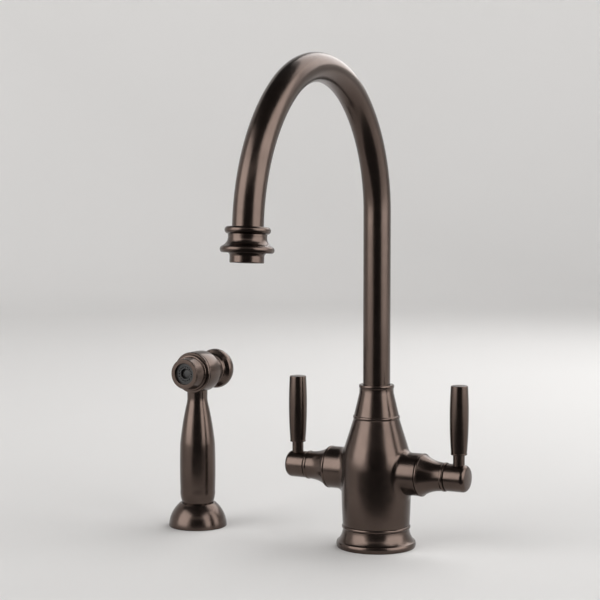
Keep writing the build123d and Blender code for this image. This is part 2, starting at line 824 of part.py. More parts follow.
def spray_holder():
    """Domed escutcheon that the spray stands in."""
    mouth = handle_foot_r + holder_mouth_gap
    recess = holder_gasket_r + fit_gap
    dome_r = handle_foot_r + holder_dome_wall
    dome_top = holder_h - holder_dome_drop
    swell_via = (0.5 * (holder_r + dome_r) + holder_dome_swell, 0.5 * (dome_top + holder_rim_h))
    lip_via = (dome_r - 0.5 * holder_lip_w, holder_h - 0.22 * holder_dome_drop)
    return turned((nut_thread_r, holder_gasket_t), (recess, holder_gasket_t), (recess, 0),
                  (holder_r - 2 * break_edge, 0), (holder_r, 2 * break_edge), (holder_r, holder_rim_h),
                  (swell_via, (dome_r, dome_top)), (lip_via, (dome_r - holder_lip_w, holder_h)),
                  (mouth, holder_h), (mouth, holder_shank_top), (nut_thread_r, holder_shank_top))


def spray_holder_gasket():
    """Rubber ring under the holder."""
    return sleeve(holder_gasket_r, holder_shank_r + 2 * fit_gap, 0, holder_gasket_t)


def spray_holder_shank():
    """Threaded shank of the holder, open for the hose, with a plain lead at its end."""
    thread_low = holder_shank_low + holder_lead_l
    shank = rod(holder_shank_r, thread_low, holder_shank_top) + rod(holder_lead_r, holder_shank_low, thread_low)
    shank -= rod(holder_shank_bore_r, holder_shank_low, holder_shank_top)
    return shank - rod(liner_r + fit_gap, liner_low, holder_shank_top)


def spray_holder_liner():
    """Plastic liner that guides the spray."""
    flange_top = holder_shank_top + liner_flange_t
    liner = rod(liner_r, liner_low, holder_shank_top) + rod(handle_foot_r, holder_shank_top, flange_top)
    return liner - rod(liner_bore_r, liner_low, flange_top)


def spray_holder_washer():
    """Rubber washer under the deck."""
    return sleeve(holder_washer_r, nut_thread_r, holder_nut_top, -deck_max)


def spray_holder_nut():
    """Nut that holds the spray's holder on the deck."""
    low = holder_nut_top - holder_nut_h
    return hexagon(holder_nut_r, low, holder_nut_top) - rod(nut_thread_r, low, holder_nut_top)


def hose_coupling():
    """Swivel between the hose and the spray's handle."""
    piece = rod(coupling_r, coupling_low, coupling_top) + rod(hose_thread_r, hose_thread_low, coupling_low)
    piece += rod(nipple_r, coupling_low, nipple_top)
    piece -= ring_groove(nipple_r, nipple_ring_section_r, nipple_ring_z)
    return piece - rod(coupling_water_r, hose_thread_low, nipple_top)


def hose_coupling_o_ring():
    """O-ring on the coupling's nipple."""
    middle_r = nipple_r + run_gap - ring_gap - nipple_ring_section_r
    return Pos(0, 0, nipple_ring_z) * Torus(middle_r, nipple_ring_section_r)


def spray_handle():
    """Swelling baton handle of the spray, with its spigot and waterway."""
    low_z = holder_h + handle_foot_l
    flare_z = handle_neck_z - handle_flare_l
    flare_r = handle_neck_r + handle_neck_flare
    foot_via = (handle_low_r - 0.3 * (handle_low_r - handle_foot_r), holder_h + 0.35 * handle_foot_l)
    taper_via = (0.5 * (handle_low_r + flare_r) + handle_taper_swell, 0.5 * (handle_high_z + flare_z))
    flare_via = (handle_neck_r + 0.14 * handle_neck_flare, handle_neck_z - 0.57 * handle_flare_l)
    nipple_hole_r = nipple_r + run_gap
    water_low = nipple_top + nipple_room
    return turned((nipple_hole_r, handle_spigot_low), (handle_spigot_r, handle_spigot_low),
                  (handle_spigot_r, handle_shoulder), (handle_foot_r, handle_shoulder),
                  (handle_foot_r, holder_h + break_edge), (foot_via, (handle_low_r, low_z)),
                  ((handle_max_r, 0.5 * (low_z + handle_high_z)), (handle_low_r, handle_high_z)),
                  (taper_via, (flare_r, flare_z)), (flare_via, (handle_neck_r, handle_neck_z)),
                  (handle_neck_r, handle_top), (handle_water_r, handle_top), (handle_water_r, water_low),
                  (nipple_hole_r, water_low))


# ---- Spray head, along the spray frame ----

def spray_head():
    """Barrel on top of the handle that holds the valve."""
    end_r = barrel_r - barrel_round
    bead_r = barrel_r - head_bead_inset
    groove_r = end_r - 2 * break_edge
    groove_end = barrel_front + head_groove_w
    head = turned((0, barrel_back), (groove_r, barrel_back), (end_r + break_edge, barrel_back + 3 * break_edge),
                  ((barrel_r, 0.5 * (barrel_back + barrel_front)), (end_r, barrel_front)),
                  (groove_r, barrel_front + 2 * break_edge), (groove_r, groove_end),
                  ((bead_r, 0.5 * (groove_end + head_front)), (bead_r - head_bead_round, head_front)),
                  (0, head_front))
    head -= rod(button_bore_r, barrel_back, web_back)
    head -= rod(rod_r + run_gap, web_back, web_back + web_t)
    head -= rod(valve_chamber_r, web_back + web_t, seat_wall)
    head -= rod(seat_r, seat_wall, seat_front)
    head -= rod(head_bore_r, seat_front, head_front)
    head = spray_frame() * head
    head -= at_spray() * rod(handle_neck_r + fit_gap, head_z - 2 * barrel_r, handle_top)
    return head - at_spray() * rod(head_water_r, handle_top, head_z - 0.5 * valve_chamber_r)


def spray_nozzle():
    """Nozzle that screws into the barrel."""
    thread_r = head_bore_r - fit_gap
    bead_end = head_front + nozzle_bead_w
    bead_edge = nozzle_bead_r - 3 * break_edge
    taper_via = (0.5 * (nozzle_root_r + nozzle_tip_r) - 0.5 * break_edge, 0.5 * (bead_end + nozzle_end))
    seat = face_start - face_gap
    face_hole_r = face_r + fit_gap
    return turned((nozzle_bore_r, valve_front), (thread_r, valve_front), (thread_r, head_front),
                  (bead_edge, head_front),
                  ((nozzle_bead_r, head_front + 0.5 * nozzle_bead_w), (bead_edge, bead_end)),
                  (nozzle_root_r, bead_end + 0.5 * break_edge),
                  (taper_via, (nozzle_tip_r, nozzle_end - break_edge)), (nozzle_tip_r - break_edge, nozzle_end),
                  (face_hole_r, nozzle_end), (face_hole_r, seat), (nozzle_bore_r, seat))


def spray_bezel():
    """Bright ring round the spray face."""
    low = nozzle_end + fit_gap
    bore = face_r + fit_gap
    side_via = (bezel_r, 0.5 * (low + bezel_end))
    return turned((bore, low), (bezel_r - bezel_round, low), (side_via, (bezel_r - bezel_round, bezel_end)),
                  (bore + break_edge, bezel_end), (bore, bezel_end - break_edge))


def spray_face():
    """Black plastic face with its ring of holes and the boss in its centre recess."""
    face = rod(face_r, face_start, face_end) - rod(face_r - face_wall, face_start, face_end - face_t)
    face -= rod(recess_r, face_end - recess_boss_drop, face_end)
    face -= sleeve(recess_r, recess_boss_r, face_end - recess_depth, face_end - recess_boss_drop)
    low = face_end - face_t
    return face - ring_of_holes(spray_hole_count, spray_hole_circle_r, spray_hole_r, low, face_end)


def spray_button():
    """Round thumb button: hollow skirt that slides in the barrel, and a flared disc."""
    inner = skirt_r - skirt_wall
    rod_hole_r = rod_r + fit_gap
    hole_end = rod_end - face_gap
    flare_start = button_floor + 0.75 * button_flare_l
    flare_end = button_floor - 0.35 * button_flare_l
    flare_via = (skirt_r + 0.38 * button_flare, button_floor + 0.08 * button_flare_l)
    rim_r = button_r - button_rim
    back_r = rim_r - button_rim
    rim_via = (rim_r - 0.33 * button_rim, button_back + 0.33 * button_rim)
    return turned((inner, skirt_front), (skirt_r, skirt_front), (skirt_r, flare_start),
                  (flare_via, (skirt_r + button_flare, flare_end)), (rim_r, button_face),
                  ((button_r, 0.5 * (button_face + button_back)), (rim_r, button_back + button_rim)),
                  (rim_via, (back_r, button_back)), crown(back_r, button_back, button_back - button_crown),
                  (0, hole_end), (rod_hole_r, hole_end), (rod_hole_r, button_floor), (inner, button_floor))


def spray_valve_rod():
    """Rod from the button through the seat, with a head that carries the seal."""
    seal_end = valve_front + seal_t
    tip = seal_end + rod_head_t
    return rod(rod_r, rod_end, seat_front) + rod(rod_tip_r, seat_wall, tip) + rod(rod_head_r, seal_end, tip)


def spray_valve_seal():
    """Rubber disc that closes the seat."""
    return sleeve(seal_r, rod_tip_r + fit_gap, valve_front, valve_front + seal_t)


def spray_spring():
    """Return spring of the button, between the barrel's web and the button's floor."""
    low = button_floor + spring_wire_r + face_gap
    high = web_back - spring_wire_r - face_gap
    coil = Pos(0, 0, low) * Helix(pitch=(high - low) / spring_turns, height=high - low, radius=spring_mean_r)
    wire = Plane(origin=coil @ 0, z_dir=coil % 0) * Circle(spring_wire_r)
    return sweep(wire, path=coil, is_frenet=True)


def pieces():
    """Every piece by its node name, in place."""
    spout_edges, outlet = spout_run()
    named = {
        "base_flange": base_flange(),
        "base_gasket": base_gasket(),
        "body_casting": body_casting(),
        "mounting_shank": mounting_shank(),
        "deck_rubber_washer": deck_rubber_washer(),
        "deck_steel_washer": deck_steel_washer(),
        "deck_lock_nut": deck_lock_nut(),
        "spout_retaining_collar": spout_retaining_collar(),
        "spout_bearing_ring": spout_bearing_ring(),
        "spout_stem": spout_stem(),
        "spout_o_rings": spout_o_rings(),
        "spout_tube": spout_tube(spout_edges),
        "diverter_cage": diverter_cage(),
        "diverter_piston": diverter_piston(),
        "outlet_collar": outlet * outlet_collar(),
        "aerator_washer": outlet * aerator_washer(),
        "aerator_housing": outlet * aerator_housing(),
        "aerator_screen": outlet * aerator_screen(),
        "aerator_core": outlet * aerator_core(),
    }
    for name, side in (("hot", -1), ("cold", 1)):
        axis = valve_frame(side)
        named[name + "_bonnet"] = axis * bonnet()
        named[name + "_cartridge"] = axis * cartridge()
        named[name + "_seat_seal"] = axis * seat_seal()
        named[name + "_fixed_disc"] = axis * ceramic_disc(fixed_disc_start, 0)
        named[name + "_moving_disc"] = axis * ceramic_disc(moving_disc_start, 90)
        named[name + "_spindle"] = axis * spindle()
        named[name + "_spindle_o_ring"] = axis * spindle_o_ring()
        named[name + "_lever_hub"] = lever_hub(side)
        named[name + "_lever_stem"] = at_lever(side) * lever_stem()
        named[name + "_lever_grip"] = at_lever(side) * lever_grip()
        named[name + "_set_screw"] = at_lever(side) * set_screw()
    for make in (spray_holder, spray_holder_gasket, spray_holder_shank, spray_holder_liner,
                 spray_holder_washer, spray_holder_nut, hose_coupling, hose_coupling_o_ring, spray_handle):
        named[make.__name__] = at_spray() * make()
    named["spray_head"] = spray_head()
    for make in (spray_nozzle, spray_bezel, spray_face, spray_button, spray_valve_rod, spray_valve_seal,
                 spray_spring):
        named[make.__name__] = spray_frame() * make()
    return named


os.makedirs("parts", exist_ok=True)
for node, shape in pieces().items():
    export_step(shape, "parts/" + node + ".step")
    print(node, round(shape.volume, 1))
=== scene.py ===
"""Two handle kitchen faucet with a side spray: its visible pieces, finishes, studio and camera.

Sizes are in millimetres and meshes in metres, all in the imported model's own frame: +Z is up, the spout
reaches towards -Y, the cold lever is at +X, and the hot lever and the spray are at -X.
"""

import json
import logging
import math
from dataclasses import dataclass, field
from enum import Enum

import bpy
import numpy as np
from mathutils import Matrix, Vector


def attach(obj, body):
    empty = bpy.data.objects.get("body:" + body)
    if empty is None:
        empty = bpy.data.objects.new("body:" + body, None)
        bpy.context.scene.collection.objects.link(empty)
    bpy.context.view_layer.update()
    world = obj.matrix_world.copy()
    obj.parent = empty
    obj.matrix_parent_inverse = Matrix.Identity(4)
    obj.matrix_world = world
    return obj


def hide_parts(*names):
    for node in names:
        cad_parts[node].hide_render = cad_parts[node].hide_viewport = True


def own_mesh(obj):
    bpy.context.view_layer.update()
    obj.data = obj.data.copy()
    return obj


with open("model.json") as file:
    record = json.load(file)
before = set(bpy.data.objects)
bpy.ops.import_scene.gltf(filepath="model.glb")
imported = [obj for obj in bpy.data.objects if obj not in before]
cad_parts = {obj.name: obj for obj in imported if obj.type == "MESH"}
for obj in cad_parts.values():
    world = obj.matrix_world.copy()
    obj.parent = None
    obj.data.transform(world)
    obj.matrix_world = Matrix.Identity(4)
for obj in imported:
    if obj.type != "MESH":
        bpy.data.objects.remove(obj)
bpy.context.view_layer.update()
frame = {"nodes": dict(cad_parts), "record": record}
LOG = logging.getLogger("faucet")

MM = 0.001
MERGE = 0.001 * MM  # vertices nearer than this become one
ROUND_STEPS, ROD_STEPS, BORE_STEPS, DRILL_STEPS, PIN_STEPS = 128, 96, 64, 48, 20  # faces round a piece
ARC_STEP, RUN_STEP = math.radians(6), 2.5  # longest steps of an arc, by angle and by length
CORNER_TURN = math.radians(22)  # a sharper corner gets a rounded edge
EDGE_STEP, EDGE_SHARE = math.radians(24), 0.4  # steps of that edge, and its share of a side
EDGE = 0.2  # usual rounding of an edge
EASE = 0.2  # small step between two forms
CLEAR = 0.05  # gap between a bore and what sits in it
OVERRUN = 1.0  # how far a drill starts before the face
SMOOTH = 38.0  # largest angle that is shaded smooth, in degrees
FACE_WEIGHT = 60  # how far large faces rule the shading of the edges next to them
WIDE_LIMITS, LIMITS = (0.3, 0.7), (0.35, 0.65)  # stretches of a noise that a finish uses
GLOSS_DETAIL, GRAIN_DETAIL = 3.0, 2.0  # octaves of the noise behind gloss and grain
HEX = 6  # corners of nuts and keys

Point = Pair = tuple[float, float]
Triple = tuple[float, float, float]
Step = Point | tuple[Point, Point]
Piece = bpy.types.Object
Socket = bpy.types.NodeSocket


class Part(Enum):
    """The bodies that the pieces ride on."""

    BODY = "body"
    SPOUT = "spout"
    HOT_LEVER = "hot_lever"
    COLD_LEVER = "cold_lever"
    SPRAY = "spray"
    BUTTON = "button"


class Slot(Enum):
    """The material slots of the record."""

    BRONZE = "bronze"
    BRONZE_PLASTIC = "bronze_plastic"
    RAW_BRASS = "raw_brass"
    STEEL = "steel"
    BLACK_RUBBER = "black_rubber"
    BLACK_PLASTIC = "black_plastic"
    WHITE_PLASTIC = "white_plastic"
    CERAMIC = "ceramic"


class Side(Enum):
    """The two valves, by their side of the body."""

    HOT = -1
    COLD = 1

    @property
    def word(self) -> str:
        """Name of the side in node names."""
        return self.name.lower()

    @property
    def lever(self) -> Part:
        """Body of the side's lever."""
        return Part.HOT_LEVER if self is Side.HOT else Part.COLD_LEVER


# ---- Finishes ----

class NodeSheet:
    """A material's node tree, with short calls for the nodes that the finishes use."""

    def __init__(self, name: str) -> None:
        """Starts a material with one Principled shader.

        Args:
            name: the material's name.
        """
        self.material = bpy.data.materials.new(name)
        self.material.use_nodes = True
        self.tree = self.material.node_tree
        self.shader = next(n for n in self.tree.nodes if n.type == "BSDF_PRINCIPLED")
        self.place = self.add("TexCoord").outputs["Object"]

    def add(self, kind: str, *links: Socket, **options: str) -> bpy.types.Node:
        """Adds a node.

        Args:
            kind: its type, without ShaderNode.
            links: what its first inputs take.
            options: its fields.

        Returns:
            The node.
        """
        node = self.tree.nodes.new("ShaderNode" + kind)
        for name, value in options.items():
            setattr(node, name, value)
        for socket, link in zip(node.inputs, links):
            self.tree.links.new(link, socket)
        return node

    def noise(self, scale: float, detail: float, rough: float = 0.5, stretch: Triple = (1, 1, 1)) -> Socket:
        """Adds a noise pattern on the piece's own coordinates.

        Args:
            scale: how many features there are in a metre.
            detail: octaves of finer noise.
            rough: how strong the finer octaves are.
            stretch: factors on the three axes, for a pattern with a direction.

        Returns:
            The pattern's factor, about 0.5 on average.
        """
        mapping = self.add("Mapping", self.place)
        mapping.inputs["Scale"].default_value = stretch
        texture = self.add("TexNoise", mapping.outputs["Vector"])
        for name, number in (("Scale", scale), ("Detail", detail), ("Roughness", rough)):
            texture.inputs[name].default_value = number
        return texture.outputs["Fac"]

    def spread(self, value: Socket, limits: Pair, result: Pair = (0.0, 1.0)) -> Socket:
        """Maps a range of values onto another, clamped.

        Args:
            value: what is mapped.
            limits: the range it comes from.
            result: the range it goes to.

        Returns:
            The mapped value.
        """
        node = self.add("MapRange", value)
        for name, number in zip(("From Min", "From Max", "To Min", "To Max"), (*limits, *result)):
            node.inputs[name].default_value = number
        return node.outputs["Result"]

    def calc(self, operation: str, first: Socket, second: Socket) -> Socket:
        """Works out a value from two others."""
        return self.add("Math", first, second, operation=operation).outputs["Value"]

    def seen(self) -> Socket:
        """Tells what the camera sees from the light on the object.

        Returns:
            The value, 1 for what the camera sees straight or in metal or glass, and 0 for other light.
        """
        rays = self.add("LightPath").outputs
        straight = self.calc("MAXIMUM", rays["Is Camera Ray"], rays["Is Glossy Ray"])
        return self.calc("MAXIMUM", straight, rays["Is Transmission Ray"])

    def tint(self, factor: Socket, dark: Triple, light: Triple) -> None:
        """Lets a pattern mix two base colours.

        Args:
            factor: the pattern.
            dark: colour where it is 0.
            light: colour where it is 1.
        """
        node = self.add("Mix", factor, data_type="RGBA")
        for socket, colour in zip((s for s in node.inputs if s.type == "RGBA"), (dark, light)):
            socket.default_value = (*colour, 1.0)
        self.drive("Base Color", next(s for s in node.outputs if s.type == "RGBA"))

    def relief(self, height: Socket, depth_mm: float, strength: float) -> None:
        """Adds a bump to the shader.

        Args:
            height: the pattern.
            depth_mm: depth of the relief.
            strength: share of it that shows.
        """
        bump = self.add("Bump")
        bump.inputs["Strength"].default_value = strength
        bump.inputs["Distance"].default_value = depth_mm * MM
        self.tree.links.new(height, bump.inputs["Height"])
        self.drive("Normal", bump.outputs["Normal"])

    def set(self, name: str, value: float | tuple[float, ...]) -> None:
        """Sets a constant on one of the shader's own sockets."""
        self.shader.inputs[name].default_value = value

    def drive(self, name: str, socket: Socket) -> None:
        """Links a pattern to one of the shader's sockets."""
        self.tree.links.new(socket, self.shader.inputs[name])


@dataclass(frozen=True)
class Finish:
    """Surface whose colour and gloss drift between two ends, with a fine grain.

    The cloud is the noise behind the colour: features in a metre, octaves and their strength.
    """

    name: str
    dark: Triple
    light: Triple
    roughness: Pair
    cloud: Triple = (90.0, 4.0, 0.6)
    cloud_limits: Pair = LIMITS
    gloss_scale: float = 600.0
    grain_mm: float = 0.3
    grain_depth_mm: float = 0.01
    grain_strength: float = 0.4
    grain_stretch: Triple = (1.0, 1.0, 1.0)
    metallic: float = 0.0

    def material(self) -> bpy.types.Material:
        """Builds the node material.

        Returns:
            The material.
        """
        sheet = NodeSheet(self.name)
        sheet.tint(sheet.spread(sheet.noise(*self.cloud), self.cloud_limits), self.dark, self.light)
        gloss = sheet.noise(self.gloss_scale, GLOSS_DETAIL)
        sheet.drive("Roughness", sheet.spread(gloss, LIMITS, self.roughness))
        grain = sheet.noise(1 / (self.grain_mm * MM), GRAIN_DETAIL, stretch=self.grain_stretch)
        sheet.relief(grain, self.grain_depth_mm, self.grain_strength)
        sheet.set("Metallic", self.metallic)
        return sheet.material


@dataclass(frozen=True)
class SatinBronze(Finish):
    """Dark oil-rubbed bronze: smooth satin metal whose brown and gloss drift slightly."""

    name: str = "satin_bronze"
    dark: Triple = (0.088, 0.065, 0.055)
    light: Triple = (0.106, 0.079, 0.067)
    roughness: Pair = (0.22, 0.262)
    cloud: Triple = (1 / (22.0 * MM), 3.0, 0.5)
    cloud_limits: Pair = WIDE_LIMITS
    gloss_scale: float = 1 / (6.6 * MM)
    grain_depth_mm: float = 0.0012
    grain_strength: float = 0.5
    metallic: float = 1.0


@dataclass(frozen=True)
class TurnedMetal(Finish):
    """Bare metal with fine lathe or rolling lines and a slightly cloudy surface."""

    roughness: Pair = (0.21, 0.265)
    cloud: Triple = (110.0, 4.0, 0.6)
    gloss_scale: float = 420.0
    grain_mm: float = 0.35
    grain_depth_mm: float = 0.002
    grain_stretch: Triple = (0.04, 0.04, 1.0)
    metallic: float = 1.0


@dataclass(frozen=True)
class Moulded(Finish):
    """Moulded plastic, rubber or lapped ceramic: fine grain and slight changes of colour and gloss."""


FINISHES: dict[Slot, Finish] = {
    Slot.BRONZE: SatinBronze(),
    Slot.BRONZE_PLASTIC: SatinBronze("coated_plastic", roughness=(0.20, 0.25)),
    Slot.RAW_BRASS: TurnedMetal("raw_brass", (0.69, 0.50, 0.23), (0.75, 0.56, 0.27)),
    Slot.STEEL: TurnedMetal("zinc_plated_steel", (0.55, 0.55, 0.57), (0.63, 0.63, 0.64), (0.3, 0.38)),
    Slot.BLACK_RUBBER: Moulded("black_rubber", (0.022, 0.022, 0.023), (0.036, 0.036, 0.037), (0.62, 0.78)),
    Slot.BLACK_PLASTIC: Moulded("black_plastic", (0.016, 0.015, 0.015), (0.026, 0.025, 0.025), (0.34, 0.46)),
    Slot.WHITE_PLASTIC: Moulded("white_plastic", (0.72, 0.71, 0.67), (0.80, 0.79, 0.75), (0.38, 0.50)),
    Slot.CERAMIC: Moulded("lapped_ceramic", (0.84, 0.82, 0.78), (0.90, 0.88, 0.84), (0.14, 0.22),
                          grain_mm=0.15, grain_depth_mm=0.003),
}
MATERIALS: dict[Slot, bpy.types.Material] = {}


# ---- Modelling ----

def clear_selection() -> None:
    """Leaves edit mode and deselects everything."""
    if bpy.context.object and bpy.context.object.mode != "OBJECT":
        bpy.ops.object.mode_set(mode="OBJECT")
    bpy.ops.object.select_all(action="DESELECT")


def take(piece: Piece) -> None:
    """Makes a piece the only one selected, and the active one.

    Args:
        piece: the object to take.
    """
    clear_selection()
    piece.select_set(True)
    bpy.context.view_layer.objects.active = piece


def edit(piece: Piece) -> None:
    """Opens a piece in edit mode, with everything selected.

    Args:
        piece: the object to open.
    """
    take(piece)
    bpy.ops.object.mode_set(mode="EDIT")
    bpy.ops.mesh.select_all(action="SELECT")


def named(name: str) -> Piece:
    """Names the object that was just added, and applies its place to its mesh.

    Args:
        name: the name of object and mesh.

    Returns:
        The object.
    """
    piece = bpy.context.object
    piece.name = piece.data.name = name
    bpy.ops.object.transform_apply(location=True, rotation=True, scale=True)
    return piece


def close_up() -> None:
    """Merges doubles, points the faces outwards and leaves edit mode."""
    bpy.ops.mesh.select_all(action="SELECT")
    bpy.ops.mesh.remove_doubles(threshold=MERGE)
    bpy.ops.mesh.normals_make_consistent(inside=False)
    bpy.ops.object.mode_set(mode="OBJECT")


def put(piece: Piece, place: Matrix) -> None:
    """Moves a piece to its place and applies that to its mesh.

    Args:
        piece: the object to move.
        place: the frame to lay its own frame on.
    """
    take(piece)
    piece.matrix_world = place @ piece.matrix_world
    bpy.ops.object.transform_apply(location=True, rotation=True, scale=True)


def apply(piece: Piece, kind: str, **settings: object) -> None:
    """Adds a modifier with its settings and applies it.

    Args:
        piece: the object to change.
        kind: the modifier's type.
        settings: its fields.
    """
    take(piece)
    modifier = piece.modifiers.new(kind.lower(), kind)
    for name, value in settings.items():
        setattr(modifier, name, value)
    bpy.ops.object.modifier_apply(modifier=modifier.name)


def cut(piece: Piece, *cutters: Piece, operation: str = "DIFFERENCE") -> None:
    """Cuts a piece with others.

    Args:
        piece: the object to cut.
        cutters: the others, which go away.
        operation: DIFFERENCE, UNION or INTERSECT.
    """
    for cutter in cutters:
        apply(piece, "BOOLEAN", object=cutter, operation=operation, solver="EXACT")
        bpy.data.objects.remove(cutter)
    edit(piece)
    bpy.ops.mesh.remove_doubles(threshold=0.5 * MERGE)
    bpy.ops.object.mode_set(mode="OBJECT")


def extrude(way: tuple[float, ...] | list[float] | Vector) -> None:
    """Extrudes what is selected along a way in metres, in edit mode."""
    bpy.ops.mesh.extrude_region_move(TRANSFORM_OT_translate={"value": way})


def wire(name: str, chain: list[Triple], scale: float) -> Piece:
    """Starts a piece as a chain of points.

    Args:
        name: the piece's name.
        chain: the points.
        scale: metres in a unit of theirs.

    Returns:
        The piece, in edit mode, with all its points selected.
    """
    clear_selection()
    bpy.ops.mesh.primitive_plane_add(size=MM)
    piece = named(name)
    bpy.ops.object.mode_set(mode="EDIT")
    bpy.ops.mesh.merge(type="CENTER")
    bpy.ops.transform.translate(value=[c * scale for c in chain[0]])
    for here, there in zip(chain, chain[1:]):
        step = [(b - a) * scale for a, b in zip(here, there)]
        bpy.ops.mesh.extrude_vertices_move(TRANSFORM_OT_translate={"value": step})
    bpy.ops.mesh.select_all(action="SELECT")
    return piece


def spun(name: str, chain: list[Point], steps: int, scale: float = MM) -> Piece:
    """Spins a chain of points a full turn round Z.

    Args:
        name: the piece's name.
        chain: the points (radius, height).
        steps: faces round the axis.
        scale: metres in a unit of the points.

    Returns:
        The piece.
    """
    piece = wire(name, [(radius, 0, height) for radius, height in chain], scale)
    bpy.ops.mesh.remove_doubles(threshold=MERGE)
    bpy.ops.mesh.spin(steps=steps, angle=math.tau, center=(0, 0, 0), axis=(0, 0, 1))
    close_up()
    return piece


def arc_points(start: Point, via: Point, end: Point, longest: float) -> list[Point]:
    """Points of an arc through three points, without its start.

    Args:
        start: first point of the arc.
        via: a point on it.
        end: last point of it.
        longest: longest step between two points, in millimetres.

    Returns:
        The points after start, with end as the last.
    """
    (ax, ay), (bx, by), (cx, cy) = start, via, end
    twice = 2 * (ax * (by - cy) + bx * (cy - ay) + cx * (ay - by))
    a2, b2, c2 = ax * ax + ay * ay, bx * bx + by * by, cx * cx + cy * cy
    ux = (a2 * (by - cy) + b2 * (cy - ay) + c2 * (ay - by)) / twice
    uy = (a2 * (cx - bx) + b2 * (ax - cx) + c2 * (bx - ax)) / twice
    radius = math.hypot(ax - ux, ay - uy)
    first, middle, last = (math.atan2(y - uy, x - ux) for x, y in (start, via, end))
    sweep = (last - first) % math.tau
    if (middle - first) % math.tau > sweep:
        sweep -= math.tau
    count = max(2, math.ceil(max(abs(sweep) / ARC_STEP, abs(sweep) * radius / longest)))
    angles = [first + sweep * i / count for i in range(1, count)]
    return [(ux + radius * math.cos(a), uy + radius * math.sin(a)) for a in angles] + [end]


class Section:
    """Half section of a turned piece: a chain of points (radius, place on the axis) in millimetres.

    A step is a point, or (via, point) for an arc. Convex edges get a small rounding, as turning tools
    leave it. A section that starts and ends on its axis is solid, and any other is a ring.
    """

    def __init__(self, start: Point, *steps: Step, edge: float = EDGE, longest: float = RUN_STEP) -> None:
        """Lays out the corners and arc points.

        Args:
            start: the first point.
            steps: points, and (via, point) pairs for arcs.
            edge: rounding of the convex edges.
            longest: longest step of an arc.
        """
        self.edge = edge
        self.points = [start]
        for step in steps:
            arc = isinstance(step[0], tuple)
            self.points += arc_points(self.points[-1], *step, longest) if arc else [step]

    def outline(self) -> list[Point]:
        """Points of the section with its convex edges rounded.

        Returns:
            The points, with its start again as the last one for a ring.
        """
        raw = [Vector(p) for p in self.points]
        count, solid = len(raw), raw[0].x == 0 and raw[-1].x == 0
        area = sum(raw[i - 1].cross(raw[i]) for i in range(count))
        smooth: list[Vector] = []
        for i, here in enumerate(raw):
            back, ahead = raw[i - 1] - here, raw[(i + 1) % count] - here
            if solid and i in (0, count - 1) or (-back).cross(ahead) * area < 0:
                smooth.append(here)
                continue
            turn = math.pi - back.angle(ahead)
            smooth += [here] if turn < CORNER_TURN else self.rounded(here, back, ahead, turn)
        return [(p.x, p.y) for p in (smooth if solid else smooth + smooth[:1])]

    def rounded(self, here: Vector, back: Vector, ahead: Vector, turn: float) -> list[Vector]:
        """Small arc that takes a corner's place.

        Args:
            here: the corner.
            back: the way from it to the point before.
            ahead: the way from it to the point after.
            turn: how far the chain turns there, in radians.

        Returns:
            The arc's points.
        """
        reach = min(self.edge * math.tan(turn / 2), EDGE_SHARE * back.length, EDGE_SHARE * ahead.length)
        radius = reach / math.tan(turn / 2)
        centre = here + (back.normalized() + ahead.normalized()).normalized() * radius / math.cos(turn / 2)
        first = here + back.normalized() * reach - centre
        last = here + ahead.normalized() * reach - centre
        count = max(2, math.ceil(turn / EDGE_STEP))
        return [centre + (first * math.sin((1 - s) * turn) + last * math.sin(s * turn)) / math.sin(turn)
                for s in (i / count for i in range(count + 1))]


def rod(radius: float, low: float, high: float, edge: float = EDGE) -> Section:
    """Half section of a solid rod."""
    return Section((0, low), (radius, low), (radius, high), (0, high), edge=edge)


def mid(first: float, second: float) -> float:
    """Middle of two numbers."""
    return 0.5 * (first + second)


def swell(radius: float, low: float, high: float, end_r: float) -> Step:
    """Arc step from low to high that is at the radius halfway and at end_r on its end."""
    return (radius, mid(low, high)), (end_r, high)


def crown(rim_r: float, rim_h: float, top_h: float) -> Step:
    """Arc step from a rim to a top on the axis, part of a sphere.

    Args:
        rim_r: the rim's radius.
        rim_h: its place on the axis.
        top_h: place of the top.

    Returns:
        The step, an arc through a point halfway.
    """
    rise = top_h - rim_h
    sphere_r = (rim_r ** 2 + rise ** 2) / (2 * abs(rise))
    half = 0.5 * math.asin(rim_r / sphere_r)
    drop = math.copysign(sphere_r * (1 - math.cos(half)), rise)
    return (sphere_r * math.sin(half), top_h - drop), (0.0, top_h)


def turned(name: str, shape: Section, place: Matrix, steps: int = ROUND_STEPS) -> Piece:
    """Turns a half section into a piece, as a lathe does, with its place in its mesh.

    Args:
        name: the piece's name.
        shape: its half section.
        place: where its axis goes.
        steps: faces round it.

    Returns:
        The new object, at the origin.
    """
    piece = spun(name, shape.outline(), steps)
    put(piece, place)
    return piece


def hexagon(corner_r: float, height: float, spot: Triple, turn: float = 0.0) -> Piece:
    """Upright hexagonal bar.

    Args:
        corner_r: radius of the corners.
        height: height of the bar.
        spot: its middle.
        turn: its turn in radians.

    Returns:
        The bar.
    """
    clear_selection()
    bpy.ops.mesh.primitive_cylinder_add(vertices=HEX, radius=corner_r * MM, depth=height * MM,
                                        location=[c * MM for c in spot], rotation=(0, 0, turn))
    return bpy.context.object


def frame_at(origin: Triple, x_way: Triple, z_way: Triple) -> Matrix:
    """Frame from its origin and two of its axes.

    Args:
        origin: the origin, in millimetres.
        x_way: way of the X axis.
        z_way: way of the Z axis, square to it.

    Returns:
        The frame, in metres.
    """
    x_axis, z_axis = Vector(x_way).normalized(), Vector(z_way).normalized()
    turn = Matrix((x_axis, z_axis.cross(x_axis), z_axis)).transposed().to_4x4()
    return Matrix.Translation(Vector(origin) * MM) @ turn


def upright(x: float = 0.0, y: float = 0.0, z: float = 0.0) -> Matrix:
    """Frame with a plumb axis through a point in millimetres."""
    return Matrix.Translation(Vector((x, y, z)) * MM)


